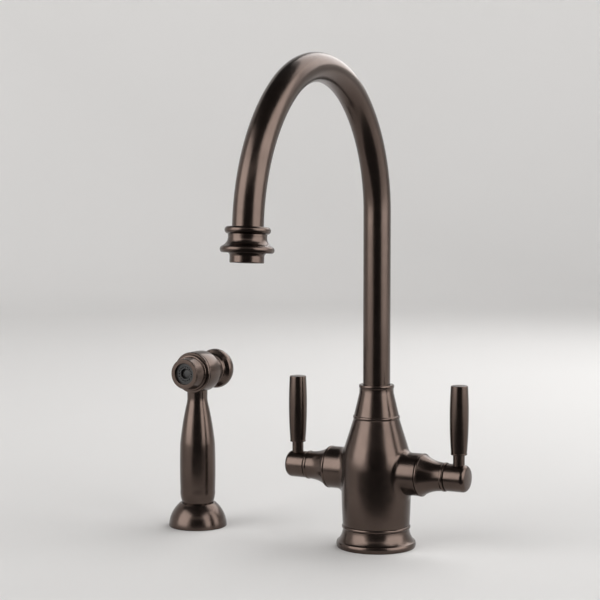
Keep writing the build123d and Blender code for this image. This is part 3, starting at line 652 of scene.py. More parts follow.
def finish(piece: Piece, node: str, part: Part, slot: Slot = Slot.BRONZE, smooth: float = SMOOTH) -> None:
    """Smooths a piece, gives it its finish and its body, hides the node that it stands for, and reports it.

    Args:
        piece: the finished mesh.
        node: the node that it replaces.
        part: the body that it rides on.
        slot: the record's slot of its finish.
        smooth: largest angle that is shaded smooth, in degrees.
    """
    take(piece)
    bpy.ops.object.shade_smooth_by_angle(angle=math.radians(smooth))
    apply(piece, "WEIGHTED_NORMAL", keep_sharp=True, weight=FACE_WEIGHT)
    piece.data.materials.clear()
    piece.data.materials.append(MATERIALS[slot])
    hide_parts(node)
    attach(piece, part.value)
    LOG.info("%s: %d faces on %s", piece.name, len(piece.data.polygons), part.value)


# ---- Body, base and neck ----

BASE_TOP_R, BASE_TOP = 27.4, 18.2
VALVE_Z = 62.3
BOSS_R, BOSS_END = 17.2, 40.3
NECK_R, NECK_Z = 18.7, 105.4
TUBE_R, TUBE_WALL = 11.1, 1.2
IN_COLLAR = 8.0


def valve_frame(side: Side) -> Matrix:
    """Frame on a valve's axis, with Z outwards and X up."""
    return frame_at((0, 0, VALVE_Z), (0, 0, 1), (side.value, 0, 0))


@dataclass
class Base:
    """Flared ring under the body: rolled foot, cove and bead."""

    foot_r: float = 32.6
    foot_h: float = 5.0
    foot_round: float = 0.6
    foot_step: float = 1.3
    cove_top: float = 15.2
    cove_sag: float = 0.27
    bead: float = 0.95
    bore_r: float = 22.05
    recess_r: float = 26.85
    recess_h: float = 2.0

    def build(self) -> None:
        """Builds the flange."""
        foot_edge, step_r = self.foot_r - self.foot_round, self.foot_r - self.foot_step
        cove_r = BASE_TOP_R - EASE
        middle_r = cove_r + self.cove_sag * (step_r - cove_r)
        shape = Section(
            (self.bore_r, self.recess_h), (self.recess_r, self.recess_h), (self.recess_r, 0),
            (foot_edge, 0), swell(self.foot_r, 0, self.foot_h, foot_edge), (step_r, self.foot_h + EASE),
            swell(middle_r, self.foot_h, self.cove_top, cove_r),
            swell(cove_r + self.bead, self.cove_top, BASE_TOP, BASE_TOP_R), (self.bore_r, BASE_TOP))
        finish(turned("base_ring", shape, upright()), "base_flange", Part.BODY)


@dataclass
class ValveBody:
    """Bellied barrel with a filleted boss on each side, a spigot below and a threaded neck on top.

    Spigot, recess, threads, bores and pocket are each a radius and a length.
    """

    belly_r: float = 28.6
    bulge: float = 0.35
    shoulder_r: float = 25.5
    shoulder_z: float = 84.0
    blend_r: float = 6.0
    cell: float = 0.7
    end_cells: float = 2.5
    arc_run: float = 0.3
    spill: float = 6.0
    rim: float = 0.2
    rim_shares: tuple[Pair, ...] = ((0.3, 0.7), (0.7, 0.3))
    spigot: Pair = (22.0, 16.0)
    recess: Pair = (16.55, 11.8)
    neck_thread: Pair = (13.8, 8.6)
    stem_bore: Pair = (11.6, 30.0)
    cage_bore: Pair = (8.9, 10.0)
    chamber: Pair = (8.0, 24.0)
    bonnet_thread: Pair = (14.0, 7.0)
    pocket: Pair = (11.0, 19.0)
    port_r: float = 4.5
    port_h: float = 12.0
    ports: tuple[Point, ...] = ((-7.8, -3.0), (7.8, -3.0), (0.0, 8.2))
    steepest: float = 0.95
    probe: float = 0.01
    least_slope: float = 0.25
    nil: float = 1e-6
    rounds: int = 6
    passes: int = 2
    profile: list[Point] = field(default_factory=list)

    def barrel(self) -> Section:
        """Outline of the barrel, run on past both ends.

        Returns:
            Its half section.
        """
        turn = math.atan((self.shoulder_r - NECK_R) / (NECK_Z - self.shoulder_z))
        arc_r = (self.belly_r - self.shoulder_r) / (1 - math.cos(turn))
        arc_low = self.shoulder_z - arc_r * math.sin(turn)
        via = (self.belly_r - arc_r * (1 - math.cos(turn / 2)), arc_low + arc_r * math.sin(turn / 2))
        low, high = BASE_TOP - self.spill, NECK_Z + self.spill
        return Section(
            (0.0, low), (BASE_TOP_R, low), (BASE_TOP_R, BASE_TOP),
            swell(mid(BASE_TOP_R, self.belly_r) + self.bulge, BASE_TOP, arc_low, self.belly_r),
            (via, (self.shoulder_r, self.shoulder_z)), (NECK_R, NECK_Z),
            (NECK_R - self.spill * math.tan(turn), high), (0.0, high), longest=self.arc_run)

    def surface(self, spots: np.ndarray) -> np.ndarray:
        """Signed distance to the blended outside of barrel and bosses.

        Args:
            spots: points in millimetres, one a row.

        Returns:
            The distance of each, below zero inside.
        """
        radii, heights = np.array(self.profile).T
        x, y, z = spots.T
        out = np.maximum(np.hypot(x, y), self.nil)
        slope = np.interp(z, heights, np.gradient(radii, heights))
        lean = 1 / np.sqrt(1 + slope ** 2)
        barrel = (out - np.interp(z, heights, radii)) * lean
        rise = z - VALVE_Z
        span = np.maximum(np.hypot(y, rise), self.nil)
        boss = span - BOSS_R
        cosine = np.clip((y * y / out - slope * rise) * lean / span, -self.steepest, self.steepest)
        u, v = self.blend_r - barrel, self.blend_r - boss
        both = (u - v * cosine > 0) & (v - u * cosine > 0)
        root = np.sqrt(np.maximum(u * u + v * v - 2 * u * v * cosine, 0) / (1 - cosine ** 2))
        return np.where(both, self.blend_r - root, np.minimum(barrel, boss))

    def settle(self, piece: Piece) -> None:
        """Moves the vertices onto the blended outside, all but those near the run-on ends.

        Args:
            piece: the body.
        """
        take(piece)
        mesh = piece.data
        spots = np.empty(len(mesh.vertices) * 3)
        mesh.vertices.foreach_get("co", spots)
        spots = spots.reshape(-1, 3) / MM
        ends = self.spill - self.end_cells * self.cell
        free = ((spots[:, 2] > BASE_TOP - ends) & (spots[:, 2] < NECK_Z + ends)
                & (np.abs(spots[:, 0]) < BOSS_END + ends))
        moving, step = spots[free], self.probe
        for _ in range(self.rounds):
            here = self.surface(moving)
            slope = np.stack([(self.surface(moving + step * axis) - self.surface(moving - step * axis))
                              / (2 * step) for axis in np.eye(3)], axis=1)
            size = np.maximum((slope ** 2).sum(axis=1), self.least_slope)
            moving = moving - (here / size)[:, None] * slope
        spots[free] = moving
        mesh.vertices.foreach_set("co", (spots * MM).ravel())
        mesh.update()

    def trim(self, spot: Triple, way: Triple) -> None:
        """Cuts off what lies past a plane, in edit mode, and leaves the new end face selected.

        Args:
            spot: a point of the plane.
            way: its normal, towards what goes.
        """
        bpy.ops.mesh.select_all(action="SELECT")
        bpy.ops.mesh.bisect(plane_co=[c * MM for c in spot], plane_no=way, use_fill=True, clear_outer=True)
        for width, depth in self.rim_shares:
            bpy.ops.mesh.inset(thickness=width * self.rim * MM, depth=depth * self.rim * MM)

    def step_in(self, width: float, way: Triple, depth: float) -> None:
        """Insets the selected end face by width and pushes the inner face along way by depth."""
        bpy.ops.mesh.inset(thickness=width * MM)
        extrude([c * depth * MM for c in way])

    def build(self) -> None:
        """Builds the body casting."""
        outline = self.barrel()
        body = turned("valve_body", outline, upright())
        self.profile = [p for p in outline.points if p[0] > 0]
        reach = BOSS_END + self.spill
        cut(body, turned("bosses", rod(BOSS_R, -reach, reach), valve_frame(Side.COLD)), operation="UNION")
        apply(body, "REMESH", mode="VOXEL", voxel_size=self.cell * MM, adaptivity=0.0)
        for _ in range(self.passes):
            self.settle(body)
            edit(body)
            bpy.ops.mesh.vertices_smooth(factor=0.5, repeat=2)
        self.settle(body)
        edit(body)
        self.end_faces()
        close_up()
        floor_z = BASE_TOP - self.spigot[1] + self.recess[1]
        port = rod(self.port_r, -OVERRUN, self.port_h)
        cut(body, *(turned("drill", port, upright(x, y, floor_z), DRILL_STEPS) for x, y in self.ports))
        finish(body, "body_casting", Part.BODY)

    def end_faces(self) -> None:
        """Trims the four ends and forms spigot, neck, bores and pockets, in edit mode."""
        up, down = (0, 0, 1), (0, 0, -1)
        self.trim((0, 0, BASE_TOP + self.rim), down)
        self.step_in(BASE_TOP_R - self.rim - self.spigot[0], down, self.spigot[1])
        self.step_in(self.spigot[0] - self.recess[0], up, self.recess[1])
        self.trim((0, 0, NECK_Z - self.rim), up)
        self.step_in(NECK_R - self.rim - self.neck_thread[0], up, self.neck_thread[1])
        self.step_in(self.neck_thread[0] - self.stem_bore[0], down, self.stem_bore[1])
        wide, floor_z = self.stem_bore[0], NECK_Z + self.neck_thread[1] - self.stem_bore[1]
        for bore_r, depth in (self.cage_bore, self.chamber):
            extrude((0, 0, 0))
            bpy.ops.transform.resize(value=(bore_r / wide, bore_r / wide, 1),
                                     center_override=(0, 0, floor_z * MM))
            extrude((0, 0, -depth * MM))
            wide, floor_z = bore_r, floor_z - depth
        for side in Side:
            out, back = (side.value, 0, 0), (-side.value, 0, 0)
            self.trim((side.value * (BOSS_END - self.rim), 0, VALVE_Z), out)
            self.step_in(BOSS_R - self.rim - self.bonnet_thread[0], back, self.bonnet_thread[1])
            self.step_in(self.bonnet_thread[0] - self.pocket[0], back, self.pocket[1])


@dataclass
class NeckCollar:
    """Cone that screws on the body's neck and holds the spout down."""

    bead: float = 0.45
    bead_h: float = 2.8
    cone_inset: float = 0.4
    cone_h: float = 21.4
    top_r: float = 14.0
    band_h: float = 3.5
    lip_r: float = 14.4
    lip_h: float = 3.1
    bore_r: float = 13.85
    ceiling: float = 120.5
    slip: float = 0.06

    def build(self) -> None:
        """Builds the collar."""
        bead_top, cone_top = NECK_Z + self.bead_h, NECK_Z + self.cone_h
        cone_r, lip_low = NECK_R - self.cone_inset, cone_top + self.band_h
        top, hole_r = lip_low + self.lip_h, TUBE_R + self.slip
        shape = Section(
            (self.bore_r, NECK_Z), (NECK_R, NECK_Z),
            swell(NECK_R + self.bead, NECK_Z, bead_top, cone_r + EASE),
            (cone_r, bead_top + EASE), (self.top_r, cone_top), (self.top_r - 0.5 * EASE, lip_low),
            swell(self.lip_r, lip_low, top, self.lip_r - 2 * EASE),
            (hole_r, top), (hole_r, self.ceiling), (self.bore_r, self.ceiling))
        finish(turned("neck_collar", shape, upright()), "spout_retaining_collar", Part.BODY)


# ---- Spout ----

@dataclass
class Spout:
    """Bent tube: a plumb leg, three arcs that follow on each other and a straight end."""

    start_z: float = 117.3
    leg_top: float = 273.1
    leg_steps: int = 24
    arc_radii: Triple = (115.3, 92.7, 131.9)
    arc_degrees: Triple = (50.5, 76.5, 49.0)
    degrees_a_step: float = 1.9
    straight_end: float = 2.2
    end_steps: int = 4

    def bends(self) -> tuple[list[Triple], Pair, float]:
        """Centres and angles of the bends, and the line's end.

        Returns:
            (centre y, centre z, radians) of each bend, the (y, z) where the last one ends, and the
            heading there.
        """
        reach, height, heading = 0.0, self.leg_top, 0.0
        stops = []
        for radius, degrees in zip(self.arc_radii, self.arc_degrees):
            centre = (reach + radius * math.cos(heading), height - radius * math.sin(heading))
            stops.append((-centre[0], centre[1], math.radians(degrees)))
            heading += math.radians(degrees)
            reach, height = centre[0] - radius * math.cos(heading), centre[1] + radius * math.sin(heading)
        return stops, (-reach, height), heading

    def outlet(self) -> Matrix:
        """Frame at the top of the outlet collar, with Z along the outlet.

        Returns:
            The frame.
        """
        _, (y, z), heading = self.bends()
        way = (0.0, -math.sin(heading), math.cos(heading))
        return frame_at((0, y + way[1] * self.straight_end, z + way[2] * self.straight_end), (1, 0, 0), way)

    def build(self) -> None:
        """Builds the tube."""
        clear_selection()
        bpy.ops.mesh.primitive_circle_add(vertices=ROUND_STEPS, radius=TUBE_R * MM,
                                          location=(0, 0, self.start_z * MM))
        tube = named("spout_pipe")
        edit(tube)
        rise = (self.leg_top - self.start_z) / self.leg_steps
        for _ in range(self.leg_steps):
            extrude((0, 0, rise * MM))
        stops, _, heading = self.bends()
        for y, z, angle in stops:
            steps = math.ceil(math.degrees(angle) / self.degrees_a_step)
            bpy.ops.mesh.spin(steps=steps, angle=angle, center=(0, y * MM, z * MM), axis=(-1, 0, 0))
        way = Vector((0, -math.sin(heading), math.cos(heading)))
        for _ in range(self.end_steps):
            extrude(way * (self.straight_end + IN_COLLAR) / self.end_steps * MM)
        close_up()
        apply(tube, "SOLIDIFY", thickness=TUBE_WALL * MM, offset=-1.0)
        finish(tube, "spout_tube", Part.SPOUT)


@dataclass
class Outlet:
    """Turned collar on the tube's end and the aerator's housing that screws into it."""

    ring_r: float = 16.2
    ring_h: float = 4.9
    ring_round: float = 1.6
    waist_r: float = 13.7
    waist_hollow: float = 1.15
    low_ring_r: float = 19.1
    low_ring_h: float = 4.6
    low_ring_round: float = 0.8
    length: float = 18.2
    thread_r: float = 11.0
    thread_lead: float = 1.0
    tube_stop: float = 2.3
    aerator_r: float = 12.1
    shoulder: float = 1.3
    cove_via: Pair = (0.27, 0.77)
    drop: float = 7.0
    lip_r: float = 8.3
    lip_t: float = 1.3
    bore_r: float = 9.2
    gap: float = 0.1

    def build(self, place: Matrix) -> None:
        """Builds both pieces.

        Args:
            place: frame at the collar's top, with Z up along the outlet.
        """
        mouth, inside, end = TUBE_R + CLEAR, TUBE_R - TUBE_WALL, self.length
        waist_start, ledge = self.ring_h + 2 * EASE, IN_COLLAR + self.tube_stop
        waist_end, low_start = waist_start + self.waist_hollow, end - self.low_ring_h
        ring_edge = self.ring_r - self.ring_round
        low_edge = self.low_ring_r - self.low_ring_round * self.ring_round
        waist_via = (self.waist_r + self.waist_hollow, mid(waist_end, low_start) + self.waist_hollow)
        collar = Section(
            (mouth, 0), (ring_edge, 0), swell(self.ring_r, 0, self.ring_h, ring_edge),
            (self.waist_r, waist_start), (self.waist_r, waist_end), (waist_via, (low_edge, low_start)),
            swell(self.low_ring_r, low_start, end, low_edge), (self.thread_r, end), (self.thread_r, ledge),
            (inside, ledge), (inside, IN_COLLAR), (mouth, IN_COLLAR))
        finish(turned("outlet_rings", collar, place), "outlet_collar", Part.SPOUT)
        out, thread, start, low = self.aerator_r, self.thread_r - CLEAR, end + self.gap, end + self.drop
        cove_via = (out + self.cove_via[0] * self.shoulder, start + self.cove_via[1] * self.shoulder)
        housing = Section(
            (self.bore_r, ledge + self.thread_lead), (thread, ledge + self.thread_lead), (thread, start),
            (out + self.shoulder, start), (cove_via, (out, start + 2 * self.shoulder)),
            (out, low - 3 * EASE), ((out - EASE, low - EASE), (out - 3 * EASE, low)), (self.lip_r, low),
            (self.lip_r, low - self.lip_t), (self.bore_r, low - self.lip_t))
        finish(turned("aerator_shell", housing, place), "aerator_housing", Part.SPOUT)


# ---- Valves and levers ----

@dataclass
class Bonnet:
    """Cone that screws into a boss and covers the cartridge."""

    side: Side
    start: float = 36.0
    thread_r: float = 13.95
    bead: float = 0.25
    bead_w: float = 2.2
    cone_r: float = 16.6
    waist_r: float = 11.7
    hollow: float = 0.6
    hollow_shares: Pair = (0.55, 0.45)
    end_r: float = 11.4
    lip_r: float = 11.8
    lip_w: float = 2.8
    neck_l: float = 3.8
    end: float = 62.5
    bore_r: float = 8.2

    def build(self) -> None:
        """Builds the bonnet."""
        bead_end, lip_start = BOSS_END + self.bead_w, self.end - self.lip_w
        waist = lip_start - self.neck_l
        near, far = self.hollow_shares
        hollow_via = (mid(self.cone_r, self.waist_r) - self.hollow, near * bead_end + far * waist)
        shape = Section(
            (self.bore_r, self.start), (self.thread_r, self.start), (self.thread_r, BOSS_END),
            (BOSS_R - 2 * EASE, BOSS_END),
            swell(BOSS_R + self.bead, BOSS_END, bead_end, self.cone_r + 3 * EASE),
            (self.cone_r, bead_end + EASE), (hollow_via, (self.waist_r, waist)), (self.end_r, lip_start),
            ((self.lip_r, mid(lip_start, self.end)), (self.end_r + EASE, self.end - EASE)),
            (self.end_r - EASE, self.end), (self.bore_r, self.end))
        bonnet = turned(self.side.word + "_bonnet_cone", shape, valve_frame(self.side))
        finish(bonnet, self.side.word + "_bonnet", Part.BODY)


@dataclass
class Lever:
    """Rounded hub on the spindle, with its upright stem, baton grip and set screw."""

    side: Side
    start: float = 63.1
    hub_r: float = 11.0
    hub_l: float = 18.1
    stub_r: float = 8.12
    stub_l: float = 8.2
    round_l: float = 4.4
    face_inset: float = 3.0
    face_via: Pair = (0.28, 0.45)
    dome: float = 0.6
    wall: float = 2.3
    socket_r: float = 4.05
    stem_x: float = 72.7
    stem_r: float = 4.7
    stem_low: float = 66.6
    stem_edge: float = 0.4
    grip_low: float = 81.2
    grip_l: float = 55.3
    grip_socket: float = 18.0
    foot_r: float = 6.6
    belly_r: float = 7.6
    top_r: float = 6.9
    lip_h: float = 1.1
    top_round: float = 0.9
    top_via: float = 0.28
    screw_r: float = 1.95
    screw_l: float = 5.6
    screw_edge: float = 0.35
    key_r: float = 1.15
    key_l: float = 2.3

    def turn(self, name: str, shape: Section, steps: int) -> Piece:
        """Turns a piece of this lever on its upright axis."""
        return turned(f"{self.side.word}_{name}", shape, upright(self.side.value * self.stem_x), steps)

    def dress(self, piece: Piece, node: str, slot: Slot = Slot.BRONZE) -> None:
        """Finishes a piece of this lever."""
        finish(piece, f"{self.side.word}_{node}", self.side.lever, slot)

    def build(self) -> None:
        """Builds the lever's four pieces."""
        self.hub()
        stem_top = self.grip_low + self.grip_socket - 2 * CLEAR
        stem = rod(self.stem_r, self.stem_low, stem_top, self.stem_edge)
        self.dress(self.turn("stem_rod", stem, ROD_STEPS), "lever_stem")
        self.grip()
        self.screw()

    def hub(self) -> None:
        """Turned hub, bored for the stem and the screw."""
        stub, end = self.start - self.stub_l, self.start + self.hub_l
        face_r, rim_x = self.hub_r - self.face_inset, end - self.dome
        via = (self.hub_r - self.face_via[0] * self.face_inset, end - self.face_via[1] * self.round_l)
        shape = Section(
            (self.socket_r, stub), (self.stub_r, stub), (self.stub_r, self.start),
            (self.hub_r - 2 * EASE, self.start), (self.hub_r, self.start + 2 * EASE),
            (self.hub_r, end - self.round_l), (via, (face_r, rim_x)), crown(face_r, rim_x, end),
            (0, end - self.wall), (self.socket_r, end - self.wall))
        hub = turned(self.side.word + "_hub", shape, valve_frame(self.side))
        stem_hole = rod(self.stem_r + CLEAR, self.stem_low, VALVE_Z + 2 * self.hub_r)
        screw_hole = rod(self.screw_r + CLEAR, VALVE_Z - 2 * self.hub_r, VALVE_Z - 0.5 * self.socket_r)
        cut(hub, self.turn("stem_hole", stem_hole, BORE_STEPS),
            self.turn("screw_hole", screw_hole, DRILL_STEPS))
        self.dress(hub, "lever_hub")

    def grip(self) -> None:
        """Swelling baton with a lip at its foot and a rounded top edge."""
        low, high, bore = self.grip_low, self.grip_low + self.grip_l, self.stem_r + CLEAR
        lip_top, ceiling, corner = low + self.lip_h, low + self.grip_socket, self.top_via * self.top_round
        shape = Section(
            (bore, low), (self.foot_r - EASE, low), (self.foot_r, low + EASE), (self.foot_r, lip_top),
            (self.foot_r - EASE, lip_top + EASE),
            ((self.belly_r, mid(low, high)), (self.top_r, high - self.top_round)),
            ((self.top_r - corner, high - corner), (self.top_r - self.top_round, high)),
            (0, high), (0, ceiling), (bore, ceiling))
        self.dress(self.turn("grip_baton", shape, ROD_STEPS), "lever_grip")

    def screw(self) -> None:
        """Grub screw with its hexagon socket."""
        high = VALVE_Z - self.socket_r - CLEAR
        low = high - self.screw_l
        screw = self.turn("grub_screw", rod(self.screw_r, low, high, self.screw_edge), DRILL_STEPS)
        cut(screw, hexagon(self.key_r, 2 * self.key_l, (self.side.value * self.stem_x, 0, low)))
        self.dress(screw, "set_screw", Slot.STEEL)


# ---- Side spray ----

SPRAY_X = -171.5
HEAD_Z = 134.4
HOLDER_H = 20.5
BATON_FOOT_R, BATON_NECK_R, BATON_TOP = 13.4, 8.8, 121.0
WEB_BACK = -3.5


def spray_frame() -> Matrix:
    """Frame on the nozzle's axis, with Z forwards, out of the nozzle."""
    return frame_at((SPRAY_X, 0, HEAD_Z), (1, 0, 0), (0, -1, 0))


@dataclass
class SprayHolder:
    """Domed escutcheon that the spray stands in."""

    radius: float = 25.0
    rim_h: float = 1.8
    dome_wall: float = 2.8
    dome_drop: float = 0.9
    swell: float = 2.2
    lip_w: float = 1.4
    lip_drop: float = 0.22
    mouth_gap: float = 0.18
    thread_r: float = 14.35
    recess_r: float = 21.85
    recess_h: float = 1.6
    shank_top: float = 12.0
    edge: float = 0.3

    def build(self) -> None:
        """Builds the holder."""
        mouth, dome_r = BATON_FOOT_R + self.mouth_gap, BATON_FOOT_R + self.dome_wall
        dome_top = HOLDER_H - self.dome_drop
        dome_via = (mid(self.radius, dome_r) + self.swell, mid(dome_top, self.rim_h))
        lip_via = (dome_r - 0.5 * self.lip_w, HOLDER_H - self.lip_drop * self.dome_drop)
        shape = Section(
            (self.thread_r, self.recess_h), (self.recess_r, self.recess_h), (self.recess_r, 0),
            (self.radius - 2 * EASE, 0), (self.radius, 2 * EASE), (self.radius, self.rim_h),
            (dome_via, (dome_r, dome_top)), (lip_via, (dome_r - self.lip_w, HOLDER_H)), (mouth, HOLDER_H),
            (mouth, self.shank_top), (self.thread_r, self.shank_top), edge=self.edge)
        finish(turned("holder_dome", shape, upright(SPRAY_X)), "spray_holder", Part.BODY)


@dataclass
class SprayHandle:
    """Swelling baton handle with its spigot."""

    low_r: float = 15.1
    foot_l: float = 11.5
    foot_via: Pair = (0.3, 0.35)
    belly_r: float = 15.45
    high_z: float = 72.0
    taper_swell: float = 0.5
    neck_flare: float = 1.1
    neck_z: float = 115.0
    flare_l: float = 10.5
    flare_via: Pair = (0.14, 0.57)
    spigot_r: float = 10.3
    spigot_low: float = -2.0
    shoulder: float = 14.3
    nipple_r: float = 6.06
    water_r: float = 4.0
    water_low: float = 9.0

    def build(self) -> None:
        """Builds the handle."""
        low_z, flare_z = HOLDER_H + self.foot_l, self.neck_z - self.flare_l
        flare_r = BATON_NECK_R + self.neck_flare
        foot_via = (self.low_r - self.foot_via[0] * (self.low_r - BATON_FOOT_R),
                    HOLDER_H + self.foot_via[1] * self.foot_l)
        taper_via = (mid(self.low_r, flare_r) + self.taper_swell, mid(self.high_z, flare_z))
        flare_via = (BATON_NECK_R + self.flare_via[0] * self.neck_flare,
                     self.neck_z - self.flare_via[1] * self.flare_l)
        shape = Section(
            (self.nipple_r, self.spigot_low), (self.spigot_r, self.spigot_low),
            (self.spigot_r, self.shoulder), (BATON_FOOT_R, self.shoulder), (BATON_FOOT_R, HOLDER_H + EASE),
            (foot_via, (self.low_r, low_z)), swell(self.belly_r, low_z, self.high_z, self.low_r),
            (taper_via, (flare_r, flare_z)), (flare_via, (BATON_NECK_R, self.neck_z)),
            (BATON_NECK_R, BATON_TOP), (self.water_r, BATON_TOP), (self.water_r, self.water_low),
            (self.nipple_r, self.water_low))
        baton = turned("spray_baton", shape, upright(SPRAY_X))
        finish(baton, "spray_handle", Part.SPRAY, Slot.BRONZE_PLASTIC)


@dataclass
class SprayHead:
    """Barrel, nozzle, bezel and face of the spray, on the nozzle's axis."""

    barrel_r: float = 17.95
    back: float = -9.8
    barrel_round: float = 0.55
    front: float = 5.8
    groove_w: float = 0.9
    bead_w: float = 2.9
    bead_inset: float = 0.2
    bead_round: float = 0.65
    bore_r: float = 12.05
    button_bore_r: float = 12.45
    web_t: float = 1.2
    rod_r: float = 2.56
    chamber_r: float = 6.2
    seat_wall: float = 2.5
    seat_front: float = 4.0
    seat_r: float = 4.2
    nozzle_bead_r: float = 15.5
    nozzle_bead_w: float = 1.8
    root_r: float = 14.1
    tip_r: float = 12.75
    nozzle_l: float = 10.3
    nozzle_bore_r: float = 8.5
    face_r: float = 9.15
    face_l: float = 6.2
    face_t: float = 4.8
    face_wall: float = 1.1
    face_drop: float = 2.4
    face_edge: float = 0.25
    bezel_out: float = 0.2
    bezel_h: float = 1.8
    bezel_round: float = 0.55
    bezel_edge: float = 0.35
    hole_r: float = 0.55
    hole_circle_r: float = 6.1
    hole_count: int = 16
    recess_r: float = 4.5
    recess_depth: float = 3.6
    boss_r: float = 3.2
    boss_drop: float = 2.4

    @property
    def head_front(self) -> float:
        """Place of the barrel's front end on the axis."""
        return self.front + self.groove_w + self.bead_w

    @property
    def nozzle_end(self) -> float:
        """Place of the nozzle's front end on the axis."""
        return self.head_front + self.nozzle_l

    @property
    def face_end(self) -> float:
        """Place of the face's front on the axis."""
        return self.nozzle_end + self.bezel_h - self.face_drop

    def build(self) -> None:
        """Builds the four pieces."""
        self.barrel()
        self.nozzle()
        self.bezel()
        self.face()

    def barrel(self) -> None:
        """Barrel with a groove and a bead at its front, bored for the handle's neck."""
        end_r, bead_r = self.barrel_r - self.barrel_round, self.barrel_r - self.bead_inset
        groove_r, groove_end = end_r - 2 * EASE, self.front + self.groove_w
        front, web_front = self.head_front, WEB_BACK + self.web_t
        shape = Section(
            (self.button_bore_r, self.back), (groove_r, self.back), (end_r + EASE, self.back + 3 * EASE),
            ((self.barrel_r, mid(self.back, self.front)), (end_r, self.front)),
            (groove_r, self.front + 2 * EASE), (groove_r, groove_end),
            swell(bead_r, groove_end, front, bead_r - self.bead_round), (self.bore_r, front),
            (self.bore_r, self.seat_front), (self.seat_r, self.seat_front), (self.seat_r, self.seat_wall),
            (self.chamber_r, self.seat_wall), (self.chamber_r, web_front), (self.rod_r, web_front),
            (self.rod_r, WEB_BACK), (self.button_bore_r, WEB_BACK))
        head = turned("spray_barrel", shape, spray_frame())
        neck_hole = rod(BATON_NECK_R + CLEAR, HEAD_Z - 2 * self.barrel_r, BATON_TOP)
        cut(head, turned("neck_hole", neck_hole, upright(SPRAY_X), ROD_STEPS))
        finish(head, "spray_head", Part.SPRAY, Slot.BRONZE_PLASTIC)

    def nozzle(self) -> None:
        """Flaring nozzle with a bead at its root."""
        thread, front, end = self.bore_r - CLEAR, self.head_front, self.nozzle_end
        low, bead_end = self.seat_front + 2 * CLEAR, front + self.nozzle_bead_w
        bead_edge = self.nozzle_bead_r - 3 * EASE
        taper_via = (mid(self.root_r, self.tip_r) - 0.5 * EASE, mid(bead_end, end))
        seat, hole = self.face_end - self.face_l - 2 * CLEAR, self.face_r + CLEAR
        shape = Section(
            (self.nozzle_bore_r, low), (thread, low), (thread, front), (bead_edge, front),
            ((self.nozzle_bead_r, front + 0.5 * self.nozzle_bead_w), (bead_edge, bead_end)),
            (self.root_r, bead_end + 0.5 * EASE), (taper_via, (self.tip_r, end - EASE)),
            (self.tip_r - EASE, end), (hole, end), (hole, seat), (self.nozzle_bore_r, seat))
        nozzle = turned("spray_nozzle_cone", shape, spray_frame())
        finish(nozzle, "spray_nozzle", Part.SPRAY, Slot.BRONZE_PLASTIC)

    def bezel(self) -> None:
        """Rounded ring round the face."""
        low, end = self.nozzle_end + CLEAR, self.nozzle_end + self.bezel_h
        outer, bore = self.tip_r + self.bezel_out, self.face_r + CLEAR
        shape = Section(
            (bore, low), (outer - self.bezel_round, low), swell(outer, low, end, outer - self.bezel_round),
            (bore + EASE, end), (bore, end - EASE), edge=self.bezel_edge)
        finish(turned("spray_ring", shape, spray_frame()), "spray_bezel", Part.SPRAY)

    def face(self) -> None:
        """Plastic face with a ring of holes round its recessed centre boss."""
        end = self.face_end
        start, floor, dip = end - self.face_l, end - self.face_t, end - self.recess_depth
        inner, boss_end, low = self.face_r - self.face_wall, end - self.boss_drop, floor - OVERRUN
        shape = Section(
            (0, floor), (inner, floor), (inner, start), (self.face_r, start), (self.face_r, end),
            (self.recess_r, end), (self.recess_r, dip), (self.boss_r, dip), (self.boss_r, boss_end),
            (0, boss_end), edge=self.face_edge)
        face = turned("spray_rose", shape, spray_frame())
        hole = Section((0, low), (self.hole_r, low), (self.hole_r, end - EASE),
                       (self.hole_r + 2 * EASE, end + EASE), (0, end + EASE), edge=0.0)
        angles = [math.tau * i / self.hole_count for i in range(self.hole_count)]
        spots = [upright(self.hole_circle_r * math.cos(a), self.hole_circle_r * math.sin(a)) for a in angles]
        holes = [turned("hole", hole, spray_frame() @ spot, PIN_STEPS) for spot in spots]
        take(holes[0])
        for drill in holes:
            drill.select_set(True)
        bpy.ops.object.join()
        cut(face, holes[0])
        finish(face, "spray_face", Part.SPRAY, Slot.BLACK_PLASTIC)


@dataclass
class SprayButton:
    """Hollow skirt that slides in the barrel, and the flared disc that the thumb presses."""

    skirt_r: float = 12.35
    wall: float = 1.75
    front: float = -7.9
    skirt_l: float = 16.1
    flare: float = 1.6
    flare_l: float = 2.6
    flare_span: Pair = (0.75, 0.35)
    flare_via: Pair = (0.38, 0.08)
    disc_r: float = 17.3
    disc_t: float = 8.1
    rim: float = 0.9
    rim_via: float = 0.33
    dome: float = 0.7
    rod_hole_r: float = 2.55
    rod_hole_l: float = 5.9

    def build(self) -> None:
        """Builds the button."""
        inner, floor = self.skirt_r - self.wall, self.front - self.skirt_l
        face, rod_end = floor - self.flare_l, floor - self.rod_hole_l
        back, rim_r = face - self.disc_t, self.disc_r - self.rim
        back_r, corner = rim_r - self.rim, self.rim_via * self.rim
        flare_start = floor + self.flare_span[0] * self.flare_l
        flare_end = (self.skirt_r + self.flare, floor - self.flare_span[1] * self.flare_l)
        flare_via = (self.skirt_r + self.flare_via[0] * self.flare, floor + self.flare_via[1] * self.flare_l)
        shape = Section(
            (inner, self.front), (self.skirt_r, self.front), (self.skirt_r, flare_start),
            (flare_via, flare_end), (rim_r, face), ((self.disc_r, mid(face, back)), (rim_r, back + self.rim)),
            ((rim_r - corner, back + corner), (back_r, back)), crown(back_r, back, back - self.dome),
            (0, rod_end), (self.rod_hole_r, rod_end), (self.rod_hole_r, floor), (inner, floor))
        button = turned("thumb_button", shape, spray_frame())
        finish(button, "spray_button", Part.BUTTON, Slot.BRONZE_PLASTIC)


